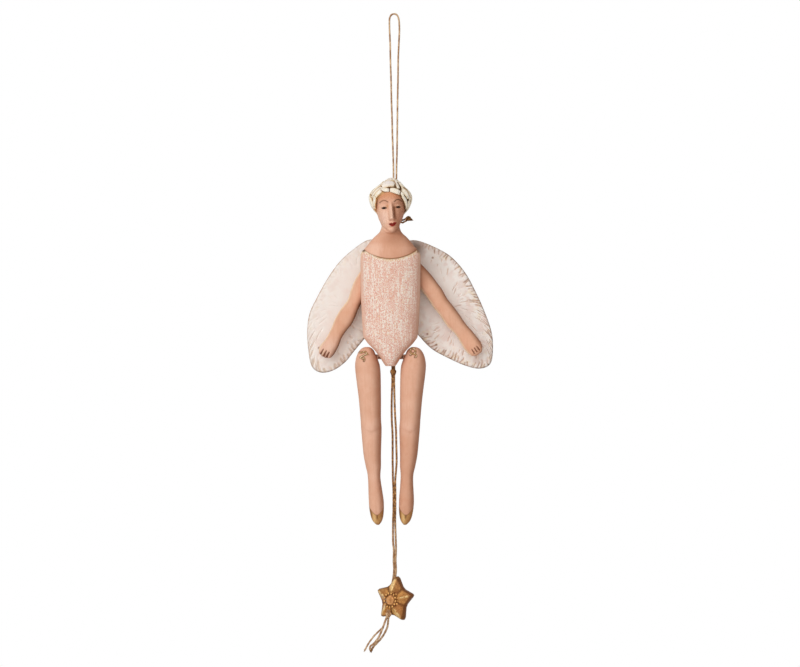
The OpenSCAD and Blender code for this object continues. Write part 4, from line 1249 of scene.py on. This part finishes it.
def make_arm(side):
    sign = inward[side]
    rest = arm_rest[side]
    around, levels = 72, 170

    def place(x, y, z):
        """From the arm's own frame, hanging straight, to the figure."""
        x, z = spun(x, z, rest)
        return Vector((pin_x[side] + sign * x, y, shoulder_z + z))

    def own(p):
        """Across and down in the arm's own frame."""
        x, z = spun(sign * (p.x - pin_x[side]), p.z - shoulder_z, -rest)
        return x, -z

    long, arm_rows = arm_long[side], arm_table(arm_long[side])
    outer_carving, inner_carving = arm_carving[side]
    gap_long, gap_wide, gap_end = gap_size[side]

    def fingers(x, down):
        """Depth of the wedge cuts between the fingers, widest at their tips."""
        open_share = ease(long - gap_long - gap_end, long - gap_end, down)
        cut = max(bump(x, gap, 0.16 + gap_wide * open_share) for gap in finger_gaps[side])
        if side == "right":
            cut *= ease(long - gap_end + 0.7, long - gap_end, down)
        return cut * ease(0, 0.2, open_share)

    def point(turn, level):
        t = level / (levels - 1)
        down, outer, inner, thick = smooth_row(arm_rows, t * (len(arm_rows) - 1))
        outer += sum(add * bump(down, at, reach) for at, reach, add in outer_carving)
        inner += sum(add * bump(down, at, reach) for at, reach, add in inner_carving)
        a = tau * turn
        half = (outer + inner) / 2
        c, s = math.cos(a), math.sin(a)
        x = (inner - outer) / 2 + c * half
        y = s * thick / 2
        if s < 0:
            y += 0.9 * fingers(x, down) * min(1, -s * 1.6) * thick / 6
            y -= 0.2 * bump(down, long - 5.6, 1.0) * -s
        tip = ease(long - 2.5, long, down)
        drop = tip * (0.55 * fingers(x, down) + 0.25 * bump(x, 2.6, 0.8))
        return place(x, arm_y + max(min(y, 3.0), -3.0), -down + drop)

    parts = [sleeve(around, levels, point)]
    tie = (pin_x[side] + sign * arm_tie[0], shoulder_z + arm_tie[1])
    parts += lever_bar([(pin_x[side], shoulder_z), tie], 3.2, lever_front, lever_back)

    def paint(p, n):
        x, down = own(p)
        c = mixed(tone(238, 190, 162), tone(230, 176, 146), speckle(p, 5, 4))
        pale = tone(248, 212, 194) if side == "left" else tone(238, 184, 154)
        c = mixed(c, pale, 0.55 * ease(long - 15, long - 6, down))
        # Painted shade in the gaps between the fingers.
        if n.y < 0.25:
            c = dab(c, (108, 50, 26), min(0.95, 1.2 * fingers(x, down)))
        c = dab(c, (158, 98, 64), 0.45 * ease(long - 1.0, long, down))
        # Painted shadow at the top of each arm, where it comes out from behind the leotard.
        if side == "left":
            c = dab(c, (206, 148, 114), 0.4 * ease(5, 1, down))
        else:
            c = dab(c, (150, 92, 62), 0.5 * ease(15, 5, down))
        # Painted highlight along the left and upper edge and painted shade along the right and lower edge,
        # with a narrow dark line of painted shade at the very edge.
        across = Vector((spun(n.x, sign * n.z, -rest)[0], n.y, 0))
        c = painted_side_light(c, across, 0.62, 0.2, 0.85)
        line = 0.6 if side == "left" else 0.42
        return dab(c, (96, 52, 30), line * front_share(n) * ease(0.65, 0.95, across.x))

    piece(f"arm_{side}_carved", joined(parts), f"{side}_arm", flesh, [f"arm_{side}"], paint)


# Down from the hip, width, inner edge and depth
leg_rows = [
    (-3.5, 2.2, 1.1, 2.6), (-2.7, 5.4, 2.6, 5.6), (-1.4, 7.6, 3.6, 7.4), (0, 9.0, 4.2, 8.4),
    (3, 11.2, 5.5, 9.8), (8, 12.6, 6.7, 11.0), (22, 11.2, 7.0, 10.6), (32, 10.3, 7.0, 9.8),
    (38, 10.2, 7.3, 10.0), (50, 8.8, 7.0, 9.4), (56, 7.7, 7.0, 7.8), (62, 6.3, 6.7, 6.7),
    (73.75, 7.5, 7.5, 7.5), (80, 6.7, 7.4, 6.3), (83.5, 4.7, 6.6, 4.7), (85.5, 1.4, 5.2, 1.7),
]
ball_row = 12
ankle, ball, toes = (leg_rows[ball_row + k][0] for k in (-1, 0, 1))
knee, vamp_end = 37, 76.6

# Loops of the hip knots as drawn on the legs, across and up
hip_drawn = {
    "left": [
        [(-13.6, -169.4), (-14.2, -168.4), (-15.4, -168.5), (-16.6, -168.9), (-17.3, -168.6)],
        [
            (-13.6, -169.4), (-14.6, -169.9), (-15.8, -170.6), (-16.8, -171.2), (-15.9, -171.7),
            (-14.8, -171.6), (-15.0, -173.0),
        ],
    ],
    "right": [
        [
            (10.0, -169.2), (10.7, -168.4), (10.3, -167.0), (9.2, -166.6), (8.2, -167.4), (8.3, -168.7),
            (9.3, -169.3),
        ],
        [(9.6, -169.2), (8.6, -169.5), (8.2, -170.1)],
        [(10.0, -169.3), (10.9, -169.8), (11.2, -170.6), (10.5, -171.1)],
    ],
}


def foot_shift(side, down):
    """The left foot stands a little further in."""
    return 0.9 * min(max((down - ankle) / (ball - ankle), 0), 1) if side == "left" else 0.0


def make_leg(side):
    sign = inward[side]
    around, levels = 80, 220

    def point(turn, level):
        t = level / (levels - 1)
        down, width, inner, deep = smooth_row(leg_rows, t * (len(leg_rows) - 1))
        a = tau * turn
        c, s = math.cos(a), math.sin(a)
        x = inner + foot_shift(side, down) - width / 2 + c * width / 2
        y = s * deep / 2
        if s < 0:
            kneecap = 0.3 * bump(down, knee, 2.2) * bump(c, 0, 0.6)
            below = 0.25 * bump(down, 40.6, 0.9) * bump(c, 0, 0.7)
            y += s * (kneecap - below)
        else:
            y += s * (0.4 * bump(down, 48, 7) - 0.4 * bump(down, 36, 3))
        return Vector((hip_x[side] + sign * x, leg_y + min(y, lever_back - leg_y), hip_z - down))

    parts = [sleeve(around, levels, point)]
    nub = [(0, -1.5), (6.5, -1.5), leg_tie]
    stops = [(hip_x[side] + sign * x, hip_z + z) for x, z in nub]
    parts += lever_bar(stops, 2.4, lever_front, lever_back)

    def paint(p, n):
        x, down = sign * (p.x - hip_x[side]), hip_z - p.z
        c = mixed(tone(238, 190, 164), tone(230, 178, 150), speckle(p, 6, 6))
        if side == "right":
            c = dab(c, (212, 156, 126), 0.5 * ease(25, 48, down))
        # Painted highlight on the front of the knee, and painted shade in the crease below it.
        c = dab(c, (244, 200, 178), 0.4 * bump(down, knee, 4) * ease(0.2, 0.9, -n.y))
        crease = bump(down, 38.6 - 0.12 * (x - 2.2) ** 2, 0.5) * bump(x, 2.4, 3.0) * ease(0.2, 0.8, -n.y)
        c = dab(c, (190, 128, 98), 0.28 * crease)
        _, width, inner, _ = smooth_row(leg_rows, ball_row + min(max((down - ball) / (toes - ball), 0), 1))
        off = (x - inner - foot_shift(side, down) + width / 2) / (width / 2)
        vamp = vamp_end + (3.9 * (1 - off * off) if n.y < 0 else -0.2)
        gold_share = ease(-0.2, 0.2, down - vamp)
        shoe = mixed(tone(216, 168, 108), tone(180, 128, 72), speckle(p, 1.6, 2))
        # A painted highlight down the slipper left of its middle; it is darker along its left edge.
        shoe = mixed(shoe, tone(244, 208, 146), 0.6 * bump(off * sign, -0.35, 0.25))
        shoe = mixed(shoe, tone(124, 76, 36), 0.7 * ease(-0.6, -0.85, off * sign))
        c = mixed(c, shoe, gold_share)
        c = dab(c, (120, 74, 34), 0.6 * bump(down, vamp, 0.3))
        if n.y < 0:
            slit = bump(off, 0.05, 0.16) * ease(vamp + 2.8, vamp + 1.2, down)
            c = dab(c, (104, 62, 28), 0.75 * gold_share * slit)
        c = dab(c, (128, 78, 38), 0.5 * ease(83.8, 85.4, down))
        # Painted shade on the inner top of the leg, next to the leotard's point.
        c = dab(c, (186, 120, 84), 0.5 * ease(2.5, 5.5, x) * ease(13, 2, down) * ease(0.9, 0.1, -n.y))
        # Painted contact shadow on the leg around the hip knots.
        if n.y < 0.2 and down < 6:
            away = min(close_to(p.x, p.z, loop) for loop in hip_drawn[side])
            c = dab(c, (104, 62, 34), 0.85 * ease(0.65, 0.35, away))
        # Painted light: the nub behind the leg's top is painted pale, as if lit.
        if p.y > lever_front - 0.4 and x > 4.7 and down < 3:
            c = tone(250, 206, 180)
        # Painted highlight on left edges and painted shade on right-facing ones.
        return painted_side_light(c, n, 0.55)

    piece(f"leg_{side}_carved", joined(parts), f"{side}_leg", flesh, [f"leg_{side}"], paint)


for limb_side in ("left", "right"):
    make_arm(limb_side)
    make_leg(limb_side)


# Twine at the hips, the nape and inside the body
def leg_front(side, x, z, lift):
    """A point just in front of a leg's top."""
    down = hip_z - z
    rows = fine_rows(leg_rows[:7], 10)
    _, width, inner, deep = min(rows, key=lambda r: abs(r[0] - down))
    off = (inward[side] * (x - hip_x[side]) - inner + width / 2) / (width / 2)
    return Vector((x, leg_y - deep / 2 * math.sqrt(max(1 - off * off, 0.05)) - lift, z))


def make_hip_cords():
    d, core_d = 0.54, 0.8
    for side in ("left", "right"):
        parts = []
        for k, loop in enumerate(hip_drawn[side]):
            lifts = [0.3 + 0.2 * (k + 0.5 * (i % 2)) for i in range(len(loop))]
            rows = [tuple(leg_front(side, x, z, lift)) for (x, z), lift in zip(loop, lifts)]
            parts.append(twine(even_line(rows, 0.2), d, 1.5, 0.6))
        for off in (-0.42, 0.42):
            core = [(hip_x[side] + off, y, hip_z) for y in (-3.2, 0, 4, 8, 11.6)]
            parts.append(twine(even_line(core, twine_step), core_d, 1.8))
        parts.append(overhand((hip_x[side], wing_front + 0.9, hip_z), 2.8, 2.8, core_d))
        twine_piece(f"hip_twine_{side}", parts, [f"hip_cord_{side}"], pale_twine, "figure")


def make_nape_twine():
    parts = []
    for start, end in ((-102.3, -101.3), (-103.5, -102.4)):
        bend = start + 0.4 * (end - start)
        line = [(2.6, 6.3, -102.6), (4.1, 6.7, start), (5.2, 6.7, bend), (6.4, 6.5, end)]
        parts.append(twine(even_line(line, 0.3), twine_d, 2.0))
    fibres = 30
    for k in range(fibres):
        t = k / (fibres - 1)
        deep = 1.1 * (chance(k, 3) - 0.5)
        tip = Vector((7.5, 6.5 + deep, -99.9)).lerp(Vector((9.7, 6.5 + deep, -102.4)), t)
        tip += Vector((0.5, 0, 0.35)) * (chance(k, 5) - 0.7)
        root = Vector((5.6, 6.6, -101.3)).lerp(Vector((6.0, 6.6, -102.5)), t)
        bend = root.lerp(tip, 0.5) + Vector((0, 0, 0.15 * (0.5 - t)))
        parts.append(twine(even_line([tuple(root), tuple(bend), tuple(tip)], 0.3), 0.52, 1.6, 0.6, 6))
    twine_piece("nape_twine", parts, ["nape_knot"], brown_twine, "figure")
    core = [(0.66, 0.39, -82.8), (1.85, 3.25, -92), (3.2, 6.5, -102.5)]
    sides = (Vector((-0.5, 0, 0)), Vector((0.5, 0, 0)))
    strands = [twine(even_line([tuple(Vector(p) + s) for p in core], twine_step), twine_d) for s in sides]
    twine_piece("head_twine", strands, ["loop_core"], tan_twine, "figure")


def make_lever_strings():
    """The strings from the levers come together behind the leotard's point."""
    string_d, string_step, knot_z, bend_z = 0.8, 0.35, -177.4, -174.4
    roots = {"arm": (pin_x, shoulder_z, arm_tie), "leg": (hip_x, hip_z, leg_tie)}
    feet = (("arm", "left", -0.6), ("arm", "right", -0.15), ("leg", "left", -1.0), ("leg", "right", 0.3))
    for limb, side, foot in feet:
        root_x, root_z, (across, up) = roots[limb]
        node = f"{limb}_string_{side}"
        x, z = root_x[side] + inward[side] * across, root_z + up
        tie = (x, string_y, z)
        runs = (
            [(foot, string_y, knot_z), (foot, string_y, bend_z), tie],
            [tie, (x, lever_back - 0.4, z)],
        )
        parts = [twine(even_line(run, string_step, smooth=False), string_d, 2.0) for run in runs]
        parts.append(overhand(tie, 1.5, 1.5, 0.6))
        twine_piece(f"{node}_twine", parts, [node], brown_twine)


make_hip_cords()
make_nape_twine()
make_lever_strings()


# Star
star_at = Vector((0.6, 2.6, -292.5))
star_r, star_notch, star_t, star_edge = 12.5, 7.6, 9.4, 2.6
star_turn, star_tilt = math.radians(40), math.radians(8)
star_lean = 0.09
face_sink = 0.75
beads, ring_r, bead_r, disc_r = 13, 3.6, 0.62, 2.3
star_holes = ((Vector((-2.7, 0.8, -298.3)), 1.5), (Vector((2.2, 0.0, -282.6)), 0.8))


def star_place(p):
    """From the star's own frame to where it hangs, tilted and then turned."""
    x, z = spun(p.x, p.z + star_lean * p.x, star_tilt)
    x, y = spun(x, p.y, star_turn)
    return star_at + Vector((x, y, z))


def on_star(reach, bearing, y):
    """A point of the star by its distance and bearing from the middle and its depth."""
    return star_place(Vector((reach * math.cos(bearing), y, reach * math.sin(bearing))))


def star_own(p):
    """From where the star hangs back to its own frame."""
    x, y, z = p - star_at
    x, y = spun(x, y, -star_turn)
    x, z = spun(x, z, -star_tilt)
    return Vector((x, y, z - star_lean * x))


def star_rim(turn):
    """Reach of the star's rounded outline, and the share of the way from point to notch."""
    f = abs(((turn * 5 + 0.5) % 1) - 0.5) * 2
    a = math.pi / 5
    span = f * a
    px, pz = star_r, 0.0
    nx, nz = star_notch * math.cos(a), star_notch * math.sin(a)
    ex, ez = nx - px, nz - pz
    reach = (px * ez - pz * ex) / (math.cos(span) * ez - math.sin(span) * ex)
    return reach - 0.7 * bump(f, 0, 0.07) + 0.35 * bump(f, 1, 0.12), f


def star_paint(p, n):
    q = star_own(p)
    r = math.hypot(q.x, q.z)
    turn = (math.atan2(q.z, q.x) - math.pi / 2) / tau
    whole, f = star_rim(turn)
    c = mixed(tone(204, 140, 70), tone(238, 176, 102), speckle(p, 3, 1))
    c = dab(c, (92, 50, 18), 0.9 * ease(0.6, 1.0, f) * ease(2.5, 5, r))
    # Painted shade on facets turned to the right, and on the lower right point.
    facing = spun(n.x, n.y, -star_turn)[0] + 0.25 * n.z
    c = dab(c, (112, 60, 22), 0.7 * ease(0.08, 0.5, facing))
    c = dab(c, (140, 82, 34), 0.4 * ease(3.5, 6, q.x) * ease(-5.5, -3.5, q.z))
    # Painted highlights on facets turned to the left and on the lit ridges.
    c = dab(c, (255, 204, 126), 0.9 * ease(-0.04, -0.35, facing) * ease(-4.5, -1, q.x))
    lit = ease(0.05, -0.25, facing) * ease(0.75, 0.15, f) * window(r, 4.4, 5.4, 10, 12)
    c = dab(c, (255, 220, 148), 0.95 * lit)
    # Painted shade on the left point, and a painted highlight on the left of the top point.
    c = dab(c, (140, 84, 38), 0.6 * ease(-3.5, -6, q.x))
    c = dab(c, (255, 214, 140), 0.4 * ease(3, 6, q.z) * ease(2, -0.5, q.x) * ease(0.9, 0.4, f))
    glint = ease(0.2, 0.6, speckle(p, 2, 6)) * ease(0.14, 0.03, f) * window(r, 4.8, 5.8, 9.5, 11.6)
    c = dab(c, (255, 222, 156), 0.85 * glint)
    if q.y < 0 and r < 4.6:
        bead = (math.atan2(q.z, q.x) / tau * beads) % 1
        close = math.hypot(min(bead, 1 - bead) / beads * tau * ring_r, r - ring_r)
        c = dab(c, (112, 62, 26), 0.75 * window(r, 2.3, 2.6, 4.2, 4.6))
        c = dab(c, (240, 182, 108), ease(bead_r, 0.6 * bead_r, close))
        disc_gold = mixed(tone(238, 178, 118), tone(200, 136, 78), speckle(p, 1.1, 9))
        c = mixed(c, disc_gold, ease(2.5, 2.3, r))
    # Painted shade: dark spots for the holes where the cords go through the star.
    for hole, reach in star_holes:
        c = dab(c, (44, 26, 14), 0.95 * ease(reach, 0.5 * reach, (p - hole).length))
    # Painted shade along the rim of the star.
    return dab(c, (104, 60, 26), 0.8 * ease(0.84, 0.96, r / whole))


def make_star():
    around, rings = 200, 40

    def point(turn, level):
        reach, f = star_rim(turn)
        front = level < rings
        step = level if front else 2 * rings - 1 - level
        s = ((step + 1) / rings) ** 0.8
        ridge = 1 - f
        top = star_t / 2
        height = star_edge / 2 + (top - star_edge / 2) * (1 - s) ** (0.8 + 1.0 * f)
        height += 0.35 * ridge ** 3 * ease(0, 0.3, s) * ease(1, 0.7, s)
        height = min(height, top - face_sink + 0.1 * (1 - s))
        if s > 0.93:
            height *= 1 - 0.55 * ((s - 0.93) / 0.07) ** 2
        return on_star(reach * s, tau * turn + math.pi / 2, -height if front else height)

    parts = [sleeve(around, 2 * rings, point)]
    face = -(star_t / 2 - face_sink)

    def disc(turn, level):
        r = disc_r * (0.3, 0.6, 0.86, 1.0, 1.04)[level]
        y = face - (0.34, 0.33, 0.3, 0.18, -0.3)[level]
        return on_star(r, tau * turn, y)

    parts.append(sleeve(48, 5, disc))
    for k in range(beads):
        bm = bmesh.new()
        bmesh.ops.create_icosphere(bm, subdivisions=2, radius=bead_r)
        bmesh.ops.translate(bm, verts=bm.verts, vec=on_star(ring_r, tau * k / beads, face))
        parts.append(bm)
    piece("star_gilded", joined(parts), "pull", gold, ["star"], star_paint)


make_star()

# Pieces of the model that show as they are
for node, finish in (
    ("back_board", board_wood), ("spacer_pegs", board_wood), ("shoulder_pin_left", board_wood),
    ("shoulder_pin_right", board_wood), ("wing_nails", steel),
):
    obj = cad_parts[node]
    obj.data.materials.clear()
    obj.data.materials.append(finish)
